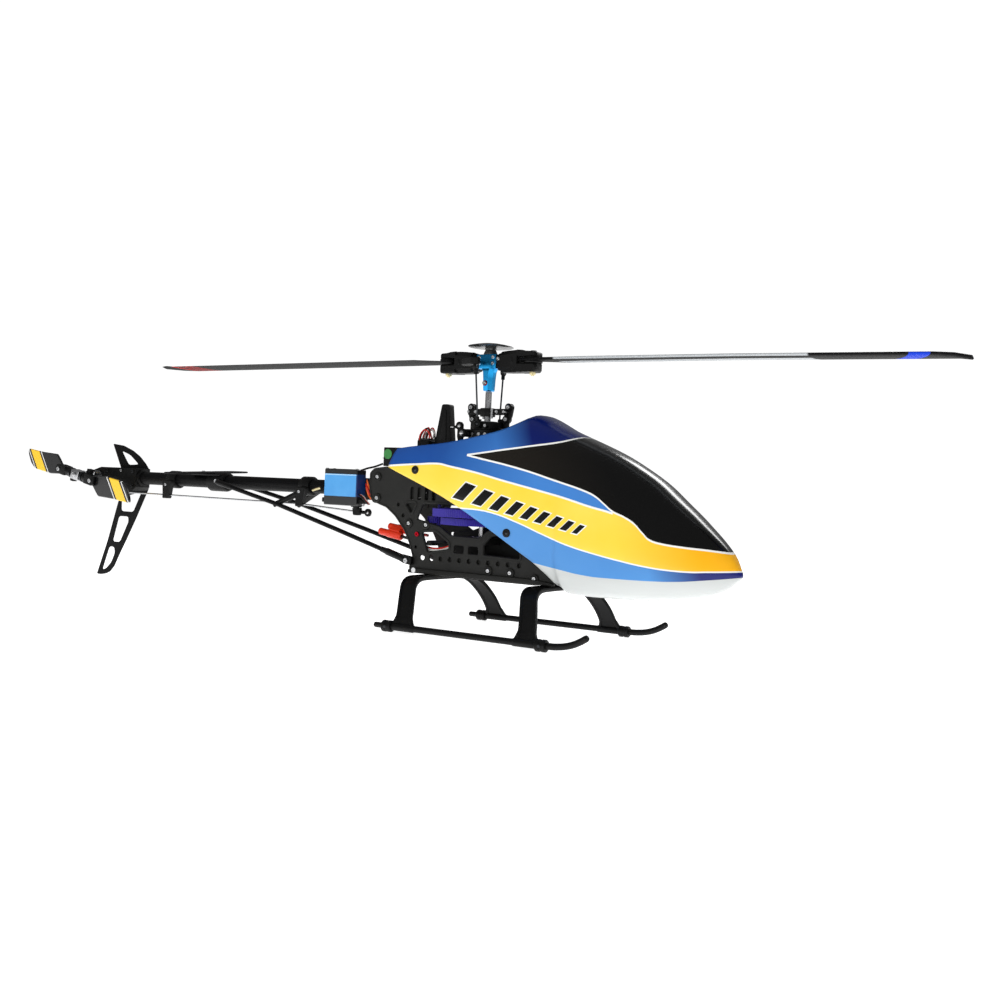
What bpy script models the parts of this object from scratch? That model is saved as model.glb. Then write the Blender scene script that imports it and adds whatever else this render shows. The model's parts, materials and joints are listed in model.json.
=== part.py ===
"""Remote control helicopter, 700 mm main rotor, built as separate named pieces.

Lengths are in millimetres and are turned into metres as each mesh is made (MM).
Working axes: +X towards the nose, +Y to the left side, +Z up, with x = y = 0 on the main
shaft and z = 0 under the skid collars. SHIFT_X then centres the whole model on its origin.
"""
import math

import bmesh
import bpy
from mathutils import Matrix, Vector
from mathutils.geometry import tessellate_polygon

MM = 0.001
GAP = 0.3                     # clearance between touching pieces
SHIFT_X = 86.36               # moves the middle of the model's length to x = 0

# main rotor
ROTOR_Z = 209.7
BLADE_BOLT_R = 38.8
BLADE_CHORD = 30.0
BLADE_THICK = 3.0
GRIP_IN, GRIP_OUT = 9.5, 47.0
PITCH_ARM_Y = 20.0            # ball of the grip's pitch arm, from the grip's axis
SHAFT_R = 2.5

# swashplate
SWASH_LOW_Z, SWASH_HIGH_Z = 149.0, 163.0
SWASH_MID_Z = 156.2

# cyclic servos: output axis in side view, and the horn's length
SERVO_PIVOT = (-22.0, 114.0)
HORN_LENGTH = 14.0

# drive train: gear = (teeth, module), radius = teeth * module / 2
MAIN_TEETH, PINION_TEETH, MAIN_MODULE = 130, 13, 0.6
TAIL_TEETH, TAIL_PINION_TEETH, TAIL_MODULE = 130, 36, 0.5
MAIN_GEAR_Z = (87.6, 93.6)
TAIL_GEAR_Z = (81.6, 86.8)
MOTOR_X = (MAIN_TEETH + PINION_TEETH) * MAIN_MODULE / 2
TAIL_DRIVE_X = -(TAIL_TEETH + TAIL_PINION_TEETH) * TAIL_MODULE / 2
BEVEL_R = 7.0

# frame
PLATE_Y = (18.0, 20.0)        # inner and outer face of each side plate
INNER_Y = PLATE_Y[0] - GAP    # half width of a block held between the plates
PAD_Z = 40.8                  # underside of the tray's pad, the face that rests on a stand

# landing gear
RAIL_Y, RAIL_Z, RAIL_R = 64.6, 4.4, 2.4
COLLAR_R = 4.4
COLLAR_X = (-38.0, 95.0)
STRUT_X = (-24.3, 82.3)
STRUT_W, STRUT_THICK = 13.0, 3.2
STRUT_RAKE, STRUT_FLARE = 11.0, 1.6   # top of the bow lies back; its feet widen at the rail
STRUT_TOP_Z = 41.0

# tail
BOOM_Z, BOOM_R = 106.0, 6.0
BOOM_X = (-400.0, -64.0)      # rear and front end
TAIL_X = -446.4
TAIL_HUB_Y = -31.4
TAIL_R = 79.0
TAIL_ANGLE = -12.0            # tail blades' rest angle, degrees
TAIL_BOLT_R = 24.0
PUSHROD = (-9.5, 91.0)        # y and z of the tail pushrod

# canopy outline in side view: (x, z) knots, and half widths (x, y)
CANOPY_TOP = ((-66, 150), (-20, 158), (20, 165), (52, 167.5), (60, 165), (76, 157), (102, 146.8),
              (119, 139.6), (135, 131.2), (152, 120.8), (168, 107.8), (184, 94.4), (205, 74), (213, 60))
CANOPY_BELLY = ((-66, 60), (20, 42), (66, 37.6), (91, 35.8), (124, 35.8), (156, 37.2), (186, 42),
                (201, 47.6), (213, 58))
CANOPY_HALF = ((-66, 37), (-20, 40), (10, 41.8), (45, 41), (90, 38), (120, 35), (150, 30.5), (175, 24),
               (195, 16), (207, 8.5), (213, 1.2))
CANOPY_RIM = ((-66, 139), (-36, 142), (-17, 144), (0, 147), (18, 151), (33, 155.5), (45, 162), (52, 168))
CANOPY_SKIRT = ((-66.5, 124), (1.9, 97), (65.3, 60.5), (78, 50), (83, 44), (85.5, 42), (87, 35))
CANOPY_MIDDLE = ((-66, 122), (-20, 112), (40, 92), (90, 76), (130, 66), (175, 60), (213, 59))
CANOPY_SHELL = 1.0
CANOPY_FULLNESS = 0.65        # below 1 the sections are fuller than an ellipse
CANOPY_STATIONS = (-66.5, -58, -46, -32, -17, 0, 18, 33, 43, 49, 52, 56, 62, 70, 78, 83, 85.5, 87, 95, 104,
                   119, 135, 152, 168, 183, 195, 204, 210, 213)


# ---------------------------------------------------------------- helpers

def clear_scene():
    for item in list(bpy.data.objects):
        bpy.data.objects.remove(item, do_unlink=True)


def material(name, colour, roughness=0.5, metallic=0.0):
    found = bpy.data.materials.get(name)
    if found:
        return found
    made = bpy.data.materials.new(name)
    made.use_nodes = True
    shader = made.node_tree.nodes["Principled BSDF"]
    shader.inputs["Base Color"].default_value = (*colour, 1.0)
    shader.inputs["Roughness"].default_value = roughness
    shader.inputs["Metallic"].default_value = metallic
    return made


def black():
    return material("moulded_black", (0.012, 0.012, 0.013), 0.42)


def carbon():
    return material("carbon_sheet", (0.018, 0.018, 0.02), 0.3)


def steel():
    return material("polished_steel", (0.62, 0.62, 0.63), 0.22, 1.0)


def blue_metal():
    return material("blue_anodised", (0.01, 0.22, 0.55), 0.25, 0.9)


def purple():
    return material("violet_nylon", (0.10, 0.05, 0.45), 0.4)


def new_object(name, bm, surface, pivot=(0, 0, 0), smooth=30.0):
    """Turn a bmesh in working millimetres into an object whose origin is the pivot."""
    bmesh.ops.remove_doubles(bm, verts=bm.verts, dist=0.002)
    bmesh.ops.recalc_face_normals(bm, faces=bm.faces)
    origin = Vector(pivot)
    for vert in bm.verts:
        vert.co = (vert.co - origin) * MM
    mesh = bpy.data.meshes.new(name)
    bm.to_mesh(mesh)
    bm.free()
    mesh.materials.append(surface)
    if smooth:
        mesh.shade_smooth()
        mesh.set_sharp_from_angle(angle=math.radians(smooth))
    made = bpy.data.objects.new(name, mesh)
    made.location = (origin + Vector((SHIFT_X, 0, 0))) * MM
    bpy.context.scene.collection.objects.link(made)
    return made


def knots(table, x):
    """Height of a smooth curve through the table's knots, with slopes from their neighbours."""
    if x <= table[0][0]:
        return table[0][1]
    if x >= table[-1][0]:
        return table[-1][1]
    i = max(k for k in range(len(table) - 1) if table[k][0] <= x)

    def slope(k):
        a, b = table[max(k - 1, 0)], table[min(k + 1, len(table) - 1)]
        return (b[1] - a[1]) / (b[0] - a[0])

    (x0, y0), (x1, y1) = table[i], table[i + 1]
    span = x1 - x0
    t = (x - x0) / span
    a = y0 * (1 + 2 * t) * (1 - t) ** 2 + slope(i) * span * t * (1 - t) ** 2
    return a + y1 * t * t * (3 - 2 * t) + slope(i + 1) * span * t * t * (t - 1)


def place(axis, u, v, w):
    """Point with outline coordinates u, v and height w along the axis letter."""
    return {"X": (w, u, v), "Y": (u, w, v), "Z": (u, v, w)}[axis]


def prism(axis, outline, low, high, holes=()):
    """Outline with holes, extruded from low to high along an axis."""
    loops = [list(outline)] + [list(hole) for hole in holes]
    bm = bmesh.new()
    flat = [point for loop in loops for point in loop]
    lower = [bm.verts.new(place(axis, u, v, low)) for u, v in flat]
    upper = [bm.verts.new(place(axis, u, v, high)) for u, v in flat]
    for tri in tessellate_polygon([[Vector((u, v, 0)) for u, v in loop] for loop in loops]):
        bm.faces.new([lower[k] for k in tri])
        bm.faces.new([upper[k] for k in tri])
    start = 0
    for loop in loops:
        count = len(loop)
        for k in range(count):
            a, b = start + k, start + (k + 1) % count
            bm.faces.new((lower[a], lower[b], upper[b], upper[a]))
        start += count
    return bm


def box(low, high):
    (x0, y0, z0), (x1, y1, z1) = low, high
    return prism("Z", ((x0, y0), (x1, y0), (x1, y1), (x0, y1)), z0, z1)


def circle(u, v, radius, count=12, start=0.0):
    return [(u + radius * math.cos(start + math.tau * k / count),
             v + radius * math.sin(start + math.tau * k / count)) for k in range(count)]


def rounded(u0, v0, u1, v1, radius, steps=3):
    """Rectangle with round corners."""
    corners = ((u1 - radius, v1 - radius, 0), (u0 + radius, v1 - radius, 90),
               (u0 + radius, v0 + radius, 180), (u1 - radius, v0 + radius, 270))
    points = []
    for cu, cv, start in corners:
        for k in range(steps + 1):
            angle = math.radians(start + 90 * k / steps)
            points.append((cu + radius * math.cos(angle), cv + radius * math.sin(angle)))
    return points


def slot(u0, v0, u1, v1, radius, steps=4):
    """Stadium outline round the line from one centre to the other."""
    heading = math.atan2(v1 - v0, u1 - u0)
    points = []
    for cu, cv, start in ((u1, v1, -90), (u0, v0, 90)):
        for k in range(steps + 1):
            angle = heading + math.radians(start + 180 * k / steps)
            points.append((cu + radius * math.cos(angle), cv + radius * math.sin(angle)))
    return points


def turned(axis, centre, profile, count=20):
    """Solid of revolution: profile is a list of (height along axis, radius)."""
    bm = bmesh.new()
    rings = []
    for height, radius in profile:
        if radius <= 0:
            rings.append([bm.verts.new(place(axis, *centre, height))])
        else:
            rings.append([bm.verts.new(place(axis, u, v, height))
                          for u, v in circle(*centre, radius, count)])
    closed = profile[0][1] > 0 and profile[-1][1] > 0
    pairs = list(zip(rings, rings[1:] + ([rings[0]] if closed else [])))
    for lower, upper in pairs[:len(rings) if closed else len(rings) - 1]:
        for k in range(count):
            n = (k + 1) % count
            corners = [lower[k % len(lower)], lower[n % len(lower)],
                       upper[n % len(upper)], upper[k % len(upper)]]
            face = [v for i, v in enumerate(corners) if v not in corners[:i]]
            if len(face) > 2:
                bm.faces.new(face)
    return bm


def rod(axis, centre, low, high, radius, count=12):
    return turned(axis, centre, ((low, 0), (low, radius), (high, radius), (high, 0)), count)


def sleeve(axis, centre, low, high, outer, inner, count=16):
    return turned(axis, centre, ((low, inner), (low, outer), (high, outer), (high, inner)), count)


def sweep(points, radius, count=8):
    """Round bar through the points, with flat ends. The radius is one number or one per point."""
    radii = radius if isinstance(radius, list) else [radius] * len(points)
    route = [Vector(p) for p in points]
    bm = bmesh.new()
    side = None
    rings = []
    for k, here in enumerate(route):
        ahead = (route[min(k + 1, len(route) - 1)] - route[max(k - 1, 0)]).normalized()
        if side is None:
            side = ahead.orthogonal().normalized()
        side = (side - ahead * side.dot(ahead)).normalized()
        up = ahead.cross(side)
        rings.append([bm.verts.new(here + side * radii[k] * math.cos(math.tau * j / count)
                                   + up * radii[k] * math.sin(math.tau * j / count))
                      for j in range(count)])
    for lower, upper in zip(rings, rings[1:]):
        for j in range(count):
            n = (j + 1) % count
            bm.faces.new((lower[j], lower[n], upper[n], upper[j]))
    bm.faces.new(rings[0])
    bm.faces.new(rings[-1])
    return bm


def loft(rings):
    """Skin through rings of equal count, with flat ends."""
    bm = bmesh.new()
    made = [[bm.verts.new(point) for point in ring] for ring in rings]
    for lower, upper in zip(made, made[1:]):
        for j in range(len(lower)):
            n = (j + 1) % len(lower)
            bm.faces.new((lower[j], lower[n], upper[n], upper[j]))
    bm.faces.new(made[0])
    bm.faces.new(made[-1])
    return bm


def fused(base, *others, mode="UNION"):
    """Boolean of closed bodies, worked out once and returned as a bmesh."""
    def temporary(bm):
        bmesh.ops.remove_doubles(bm, verts=bm.verts, dist=0.0001)
        bmesh.ops.recalc_face_normals(bm, faces=bm.faces)
        mesh = bpy.data.meshes.new("temporary")
        bm.to_mesh(mesh)
        bm.free()
        made = bpy.data.objects.new("temporary", mesh)
        bpy.context.scene.collection.objects.link(made)
        return made

    body = temporary(base)
    tools = [temporary(other) for other in others]
    for tool in tools:
        cut = body.modifiers.new("cut", "BOOLEAN")
        cut.operation = mode
        cut.solver = "EXACT"
        cut.object = tool
    ready = body.evaluated_get(bpy.context.evaluated_depsgraph_get())
    bm = bmesh.new()
    bm.from_mesh(ready.to_mesh())
    for item in [body] + tools:
        bpy.data.objects.remove(item, do_unlink=True)
    return bm


def turned_about(bm, axis, angle, centre):
    """Rotate a bmesh by an angle in degrees about an axis through a centre."""
    bmesh.ops.rotate(bm, verts=bm.verts, cent=centre,
                     matrix=Matrix.Rotation(math.radians(angle), 3, axis))
    return bm


# ---------------------------------------------------------------- frame

def plate_outline():
    """Side plate in side view, from the rear top corner, clockwise round the rear and bottom."""
    return ((-81.8, 124.7), (-93.6, 123.2), (-97.9, 119.5), (-98, 108), (-96, 98.5), (-89.1, 94.7),
            (-79.9, 92), (-70.5, 85.3), (-61, 74.7), (-55.4, 64.9), (-51.5, 54.5), (-54.4, 47),
            (-53.7, 41.7), (71.7, 41.7), (77.6, 41.7), (77.6, 45), (70, 80), (66, 112), (60, 120),
            (-20, 124.7))


def plate_holes():
    """Lightening holes, the gear window and the clearance holes for posts and servo outputs."""
    gear_window = ((-48.5, 84.4), (-43.5, 96.4), (40, 96.4), (44, 84), (26, 79.4), (18.2, 79.2),
                   (10.5, 72.9), (-15.4, 73.4), (-25.5, 79.7))
    rear_window = ((-42.8, 74.2), (-30, 75), (-17.6, 67.1), (-17.4, 62.7), (-36.9, 59.2))
    front_window = ((15.1, 68.2), (21.9, 75), (30.1, 75.5), (46.7, 67), (47.1, 59.6), (15.6, 60.5))
    triangle = ((-60.3, 96), (-50.5, 96.6), (-54.5, 88.7))
    squares = [rounded(x, 60, x + 9.3, 66, 1.5, 2) for x in (-12.4, 0.8)]
    vents = [slot(x, 101, x, 108, 1.6, 2) for x in (-54.5, -47.5, -40.5, -33.5)]
    row = [circle(x, 54.6, 2.4, 8) for x in (-42, -33.2, -24.4, -15.6, -6.8, 2, 10.8, 19.6, 28.4, 37.2)]
    small = [circle(-67.6, 94.9, 1.6, 8), circle(-62.5, 86.5, 1.6, 8), circle(47, 53.6, 2.4, 8)]
    servo = [circle(*SERVO_PIVOT, 3.4, 10)]
    posts = [circle(-38.8, 120, 2.3, 10), circle(47.3, 78.4, 2.3, 10)]
    return [gear_window, rear_window, front_window, triangle, *squares, *vents, *row, *small, *servo,
            *posts]


def build_frame():
    for side, sign in (("right", -1), ("left", 1)):
        bm = prism("Y", plate_outline(), sign * PLATE_Y[0], sign * PLATE_Y[1], plate_holes())
        new_object("frame_plate_" + side, bm, carbon())
    shaft_hole = [circle(0, 0, SHAFT_R + GAP, 16)]
    block = rounded(-15, -INNER_Y, 15, INNER_Y, 3)
    new_object("upper_bearing_block", prism("Z", block, 117, 124.4, shaft_hole), black())
    new_object("lower_bearing_block", prism("Z", block, 67.5, 72.5, shaft_hole), black())
    tray = prism("Z", rounded(-50, -INNER_Y, 71, INNER_Y, 2), 42.2, 44.6)
    shelf = prism("Z", rounded(60, -15, 152, 15, 3), 44.2, 48.6)
    pad = prism("Z", rounded(-24, -INNER_Y, 60, INNER_Y, 2), PAD_Z, 43)
    new_object("bottom_tray", fused(tray, shelf, pad), carbon())
    solid = fused(prism("Y", rounded(-97, 95, -65.5, 119, 4), -INNER_Y, INNER_Y),
                  rod("X", (0, BOOM_Z), -110, -50, BOOM_R + GAP, 24), mode="DIFFERENCE")
    new_object("boom_mount", solid, black())
    posts = {"canopy_post_rear": (-38.8, 120, 33.2), "canopy_post_front": (47.3, 78.4, 35.5)}
    for name, (x, z, reach) in posts.items():
        new_object(name, rod("Y", (x, z), -reach, reach, 1.9), black())


def build_canopy():
    """Shell as a grid of stations; each half section runs from its top edge to its lower edge."""
    open_top_end, open_belly_end = CANOPY_RIM[-1][0], CANOPY_SKIRT[-1][0]
    steps = 10
    bm = bmesh.new()
    for sign in (1, -1):
        rows = []
        for x in CANOPY_STATIONS:
            top, belly, half, middle = (knots(table, x) for table in
                                        (CANOPY_TOP, CANOPY_BELLY, CANOPY_HALF, CANOPY_MIDDLE))
            rim = min(knots(CANOPY_RIM, x), top) if x < open_top_end else top
            skirt = max(knots(CANOPY_SKIRT, x), belly) if x < open_belly_end else belly
            high = math.asin(max(-1.0, min(1.0, (rim - middle) / (top - middle))))
            reach = (skirt - middle) / ((top - middle) if skirt > middle else (middle - belly))
            low = math.asin(max(-1.0, min(1.0, reach)))
            row = []
            for k in range(steps + 1):
                angle = high + (low - high) * k / steps
                height = (top - middle) if angle > 0 else (middle - belly)
                y = half * max(math.cos(angle), 0.0) ** CANOPY_FULLNESS
                y = 0.0 if y < 0.05 else y
                row.append(bm.verts.new((x, sign * y, middle + height * math.sin(angle))))
            rows.append(row)
        for a, b in zip(rows, rows[1:]):
            for k in range(steps):
                bm.faces.new((a[k], b[k], b[k + 1], a[k + 1]))
    bmesh.ops.remove_doubles(bm, verts=bm.verts, dist=0.02)
    tip_x, tip_z = CANOPY_MIDDLE[-1]
    nose = [v for v in bm.verts if v.co.x > tip_x - 0.1]
    bmesh.ops.pointmerge(bm, verts=nose, merge_co=(tip_x, 0, tip_z))
    shell = new_object("canopy", bm, material("canopy_paint", (0.02, 0.09, 0.45), 0.15))
    thick = shell.modifiers.new("shell", "SOLIDIFY")
    thick.thickness = CANOPY_SHELL * MM
    thick.offset = -1.0
    thick.use_even_offset = True
    return shell


# ---------------------------------------------------------------- landing gear

def build_landing_gear():
    bow = ((0, STRUT_TOP_Z, 0), (24, STRUT_TOP_Z, 0), (40, STRUT_TOP_Z - 1, 8), (51, STRUT_TOP_Z - 6, 28),
           (57.5, STRUT_TOP_Z - 14, 50), (61.5, 16.5, 68), (RAIL_Y - 1.5, 11, 72),
           (RAIL_Y - 0.6, RAIL_Z + RAIL_R + GAP, 75))
    path = [(-y, z, lean) for y, z, lean in reversed(bow)] + list(bow[1:])
    for name, foot_x in zip(("rear", "front"), STRUT_X):
        rings = []
        for y, z, lean in path:
            rise = (z - RAIL_Z) / (STRUT_TOP_Z - RAIL_Z)
            x = foot_x - STRUT_RAKE * rise ** 2.5
            wide = STRUT_W / 2 + STRUT_FLARE * max(0.0, 1 - 4.5 * rise)
            tilt = math.copysign(math.radians(lean), y)
            across, upward = STRUT_THICK / 2 * math.sin(tilt), STRUT_THICK / 2 * math.cos(tilt)
            z -= STRUT_THICK / 2 * math.cos(tilt) if z > 12 else 0.0
            rings.append([(x + wide, y + across, z + upward), (x - wide, y + across, z + upward),
                          (x - wide, y - across, z - upward), (x + wide, y - across, z - upward)])
        new_object("skid_strut_" + name, loft(rings), black())
    rail = [(-46, RAIL_Z, RAIL_R)]
    for x in COLLAR_X:
        for end, radius in ((-4.2, RAIL_R), (-4.2, COLLAR_R), (4.2, COLLAR_R), (4.2, RAIL_R)):
            rail.append((x + end, RAIL_Z, radius))
    rail += [(x, z, RAIL_R) for x, z in ((105, 4.6), (112, 5.5), (119, 7.4), (125, 10.2), (130.5, 13.6))]
    for side, sign in (("right", -1), ("left", 1)):
        points = [(x, sign * RAIL_Y, z) for x, z, radius in rail]
        new_object("skid_rail_" + side, sweep(points, [r for x, z, r in rail], 12), black())


# ---------------------------------------------------------------- main rotor

def gear(centre, teeth, module, low, high, bore, phase=0.0):
    """Spur gear with pointed teeth; phase is a part of one tooth, so that two gears mesh."""
    radius = teeth * module / 2
    tip, root = radius + module * 0.35, radius - module * 0.9
    outline = []
    for k in range(teeth):
        for offset, r in ((0.0, tip), (0.5, root)):
            angle = math.tau * (k + offset + phase) / teeth
            outline.append((centre[0] + r * math.cos(angle), centre[1] + r * math.sin(angle)))
    return prism("Z", outline, low, high, [circle(*centre, bore, 16)])


def build_rotor_core():
    new_object("main_shaft", rod("Z", (0, 0), 62, 186, SHAFT_R, 16), steel())
    gears = (("main_gear", MAIN_TEETH, MAIN_MODULE, MAIN_GEAR_Z),
             ("tail_drive_gear", TAIL_TEETH, TAIL_MODULE, TAIL_GEAR_Z))
    for name, teeth, module, (low, high) in gears:
        new_object(name, gear((0, 0), teeth, module, low, high, SHAFT_R + GAP), purple())
    neck = turned("Z", (0, 0), ((186 + GAP, 0), (186 + GAP, 5.2), (203, 6.2), (205, 6.2), (205, 0)), 12)
    block = box((-7.0, -6.0, 204), (7.0, 6.0, 214.6))
    spindle = rod("X", (0, ROTOR_Z), -26, 26, 1.5)
    new_object("head_block", fused(neck, block, spindle), blue_metal())
    button = ((214.6 + GAP, 0), (214.6 + GAP, 6.0), (220, 4.4), (219.6, 9), (220.2, 17.5), (221, 17.5),
              (223, 9), (223.6, 0))
    new_object("head_button", turned("Z", (0, 0), button, 28), black())
    hub = fused(sleeve("Z", (0, 0), 166.6, 173, 6.0, SHAFT_R + GAP),
                box((4, -2.4, 168), (17, 2.4, 172.6)), box((-17, -2.4, 168), (-4, 2.4, 172.6)))
    new_object("swash_driver", hub, black())


def build_grip(name, sign):
    """Blade grip: a sleeve on the spindle, two cheeks round the blade root and a pitch arm."""
    slot_half = BLADE_THICK / 2 + 1.0
    cheek = [(sign * x, y) for x, y in ((22, -7), (43, -7), (47, -4.5), (47, 4.5), (43, 7), (22, 7))]
    bolt = [circle(sign * BLADE_BOLT_R, 0, 1.8, 10)]
    barrel = rod("X", (0, ROTOR_Z), *sorted((sign * GRIP_IN, sign * 27.0)), 8.0, 16)
    upper = prism("Z", cheek, ROTOR_Z + slot_half, ROTOR_Z + 8.2, bolt)
    lower = prism("Z", cheek, ROTOR_Z - 8.2, ROTOR_Z - slot_half, bolt)
    arm = prism("Z", [(sign * x, sign * y) for x, y in
                      ((11, 5), (20, 5), (17, 15), (3.4, 22.4), (-3, 22.4), (-3, 17.6), (2.4, 17.2),
                       (11, 11))], ROTOR_Z - 4.4, ROTOR_Z + 0.4)
    body = fused(barrel, upper, lower, arm)
    bore = rod("X", (0, ROTOR_Z), *sorted((sign * 5.0, sign * 26.5)), 1.5 + GAP)
    root = box((min(sign * 29, sign * 50), -9, ROTOR_Z - slot_half),
               (max(sign * 29, sign * 50), 9, ROTOR_Z + slot_half))
    body = fused(body, bore, root, mode="DIFFERENCE")
    new_object(name, body, black(), pivot=(0, 0, ROTOR_Z))


def build_main_blade(name, sign):
    """Blade with an aerofoil section, a raked tip and a rounded root held by one bolt."""
    lead = -sign               # the rotor turns clockwise from above
    stations = ((31.0, 0.46, 0), (35.0, 0.56, 0), (46.0, 0.66, 0), (60.0, 0.98, 0), (80.0, 1.0, 0),
                (200.0, 1.0, -1.0), (330.0, 1.0, -3.0), (342.0, 0.82, -3.2), (349.7, 0.30, -3.4))
    section = ((0.0, 0.0), (0.06, 0.34), (0.3, 0.5), (0.65, 0.36), (1.0, 0.05), (1.0, -0.05),
               (0.65, -0.36), (0.3, -0.5), (0.06, -0.34))
    rings = []
    for radius, share, drop in stations:
        chord = BLADE_CHORD * share
        trailing = -BLADE_CHORD * 0.62 if radius > 58 else -chord / 2
        ring = []
        for along, height in section:
            y = lead * (trailing + chord * (1 - along))
            z = ROTOR_Z + (drop if sign > 0 else 0.0) + height * BLADE_THICK
            ring.append((sign * radius, y, z))
        rings.append(ring)
    bm = fused(loft(rings), rod("Z", (sign * BLADE_BOLT_R, 0), 200, 220, 1.8, 10), mode="DIFFERENCE")
    new_object(name, bm, carbon(), pivot=(sign * BLADE_BOLT_R, 0, ROTOR_Z))


def build_swashplate():
    """Stationary ring below, rotating ring above, with the pitch links and driver arms."""
    ring = sleeve("Z", (0, 0), SWASH_LOW_Z, SWASH_MID_Z - GAP, 14.5, 7.5, 24)
    pin = rod("X", (0, 153.6), -41, -12, 1.3, 8)
    ears = [prism("Y", slot(-8, 152.5, -12, 152.5, 2.6, 3), y, y + 11.6) for y in (-18.6, 7.0)]
    nose_ear = box((12, -2.5, 150.5), (19.5, 2.5, 154.5))
    ball_x = SERVO_PIVOT[0] + HORN_LENGTH
    links = [sweep([(ball_x, sign * 24.6, SERVO_PIVOT[1] - 1), (ball_x - 0.5, sign * 24.2, 126),
                    (ball_x - 2.4, sign * 20.6, 146), (ball_x - 3, sign * 16.5, 153)], 1.1)
             for sign in (1, -1)]
    new_object("swash_lower_ring", fused(ring, pin, nose_ear, *ears, *links), black())
    ring = sleeve("Z", (0, 0), SWASH_MID_Z, SWASH_HIGH_Z - 1, 13.0, 4.5, 24)
    balls = [box((-2.4, -15.5, 157.5), (2.4, -10, 161)), box((-2.4, 10, 157.5), (2.4, 15.5, 161))]
    arms = []
    for sign in (1, -1):
        arms.append(prism("Y", slot(sign * 15.2, 164.6, sign * 17.4, 174.4, 2.3, 4), 2.9, 5.4))
        arms.append(box((min(sign * 9, sign * 17), 2.9, 158.5), (max(sign * 9, sign * 17), 5.4, 165)))
    new_object("swash_upper_ring", fused(ring, *balls, *arms), black())
    for name, sign in (("front", 1), ("rear", -1)):
        route = [(0, sign * 14.2, 161.4), (0, sign * 15, 168), (0, sign * 19.2, 196),
                 (0, sign * 19.8, 204.6)]
        new_object("pitch_link_" + name, sweep(route, 1.0), steel())
    post = prism("Y", ((-49, 146), (-33.5, 146), (-35, 176.4), (-43.5, 176.4)), 1.9, 6.4)
    lip = prism("Y", ((-49, 125.2), (-31, 125.2), (-33.5, 147), (-49, 147)), -1.5, 6.4)
    new_object("anti_rotation_guide", fused(post, lip), black())


def build_cyclic_servos():
    """Two servos inside the side plates, with horns and links outside them."""
    x, z = SERVO_PIVOT
    for side, sign in (("right", -1), ("left", 1)):
        ys = sorted((sign * 8.5, sign * INNER_Y))
        case = box((x - 20, ys[0], z - 16), (x + 4.5, ys[1], z + 2.4))
        ears = box((x - 24, ys[0] + 2, z - 11), (x + 8, ys[1] - 2, z - 9))
        boss = rod("Y", SERVO_PIVOT, *sorted((sign * 15, sign * 20.9)), 2.0)
        new_object("cyclic_servo_" + side, fused(case, ears, boss), black())
        horn = prism("Y", slot(x, z, x + HORN_LENGTH, z, 2.6, 4), *sorted((sign * 21.3, sign * 22.9)))
        new_object("cyclic_horn_" + side, horn, black(), pivot=(x, sign * 22, z))


# ---------------------------------------------------------------- drive train

def build_drive():
    new_object("motor_mount", prism("Z", rounded(30, -INNER_Y, 65, INNER_Y, 2), 95, 97,
                                    [circle(MOTOR_X, 0, 3.2, 14)]), carbon())
    low, high = MAIN_GEAR_Z
    profile = ((98.2, 0), (98.2, 12.6), (99.4, 13.6), (110.6, 13.6), (112, 11), (112, 0))
    can = turned("Z", (MOTOR_X, 0), profile, 24)
    shaft = rod("Z", (MOTOR_X, 0), low - 0.6, 99, 1.5, 12)
    pinion = gear((MOTOR_X, 0), PINION_TEETH, MAIN_MODULE, low, high, 0.5)
    new_object("motor_bell", fused(can, shaft, pinion), material("motor_grey", (0.16, 0.17, 0.19), 0.3, 0.9),
               pivot=(MOTOR_X, 0, 100))
    low, high = TAIL_GEAR_Z
    spur = gear((TAIL_DRIVE_X, 0), TAIL_PINION_TEETH, TAIL_MODULE, low, high, 1.0, phase=0.5)
    cone = ((78, 0), (78, 1.5), (BOOM_Z - BEVEL_R - 2.4, 1.5), (BOOM_Z - BEVEL_R - 2.4, 4.6),
            (BOOM_Z - BEVEL_R, BEVEL_R - 0.3), (BOOM_Z - BEVEL_R + 2.5, BEVEL_R - 2.8),
            (BOOM_Z - BEVEL_R + 2.5, 0))
    new_object("tail_drive_pinion", fused(turned("Z", (TAIL_DRIVE_X, 0), cone, 20), spur), black(),
               pivot=(TAIL_DRIVE_X, 0, 84))
    front = TAIL_DRIVE_X - BEVEL_R
    rear = TAIL_X + 5.0
    tube = ((front + 2.5, 0), (front + 2.5, BEVEL_R - 2.8), (front, BEVEL_R - 0.3), (front - 2.4, 4.4),
            (front - 2.4, 2.0), (rear + 2.4, 2.0), (rear + 2.4, 3.2), (rear, 4.7), (rear - 2, 2.7),
            (rear - 2, 0))
    new_object("torque_tube", turned("X", (0, BOOM_Z), tube, 16), steel(), pivot=(TAIL_DRIVE_X, 0, BOOM_Z))


def build_electronics():
    new_object("battery_pack", prism("X", rounded(-16.5, 49.2, 16.5, 73, 3), 68.5, 168),
               material("battery_wrap", (0.03, 0.03, 0.035), 0.35))
    new_object("speed_controller", prism("Z", rounded(74, -12, 108, 12, 2), 76.4, 84.6), black())
    new_object("battery_plug", prism("X", rounded(-9, 70, -2.4, 79.4, 2), -82, -58.5),
               material("plug_red", (0.7, 0.03, 0.02), 0.4))
    new_object("gyro_box", prism("Z", rounded(-90, -14, -64, 14, 1.5), 125.2, 140.4), black())
    new_object("receiver", prism("Z", rounded(-62, -7, -50, 13, 1.5), 125.2, 147), black())


# ---------------------------------------------------------------- tail

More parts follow.
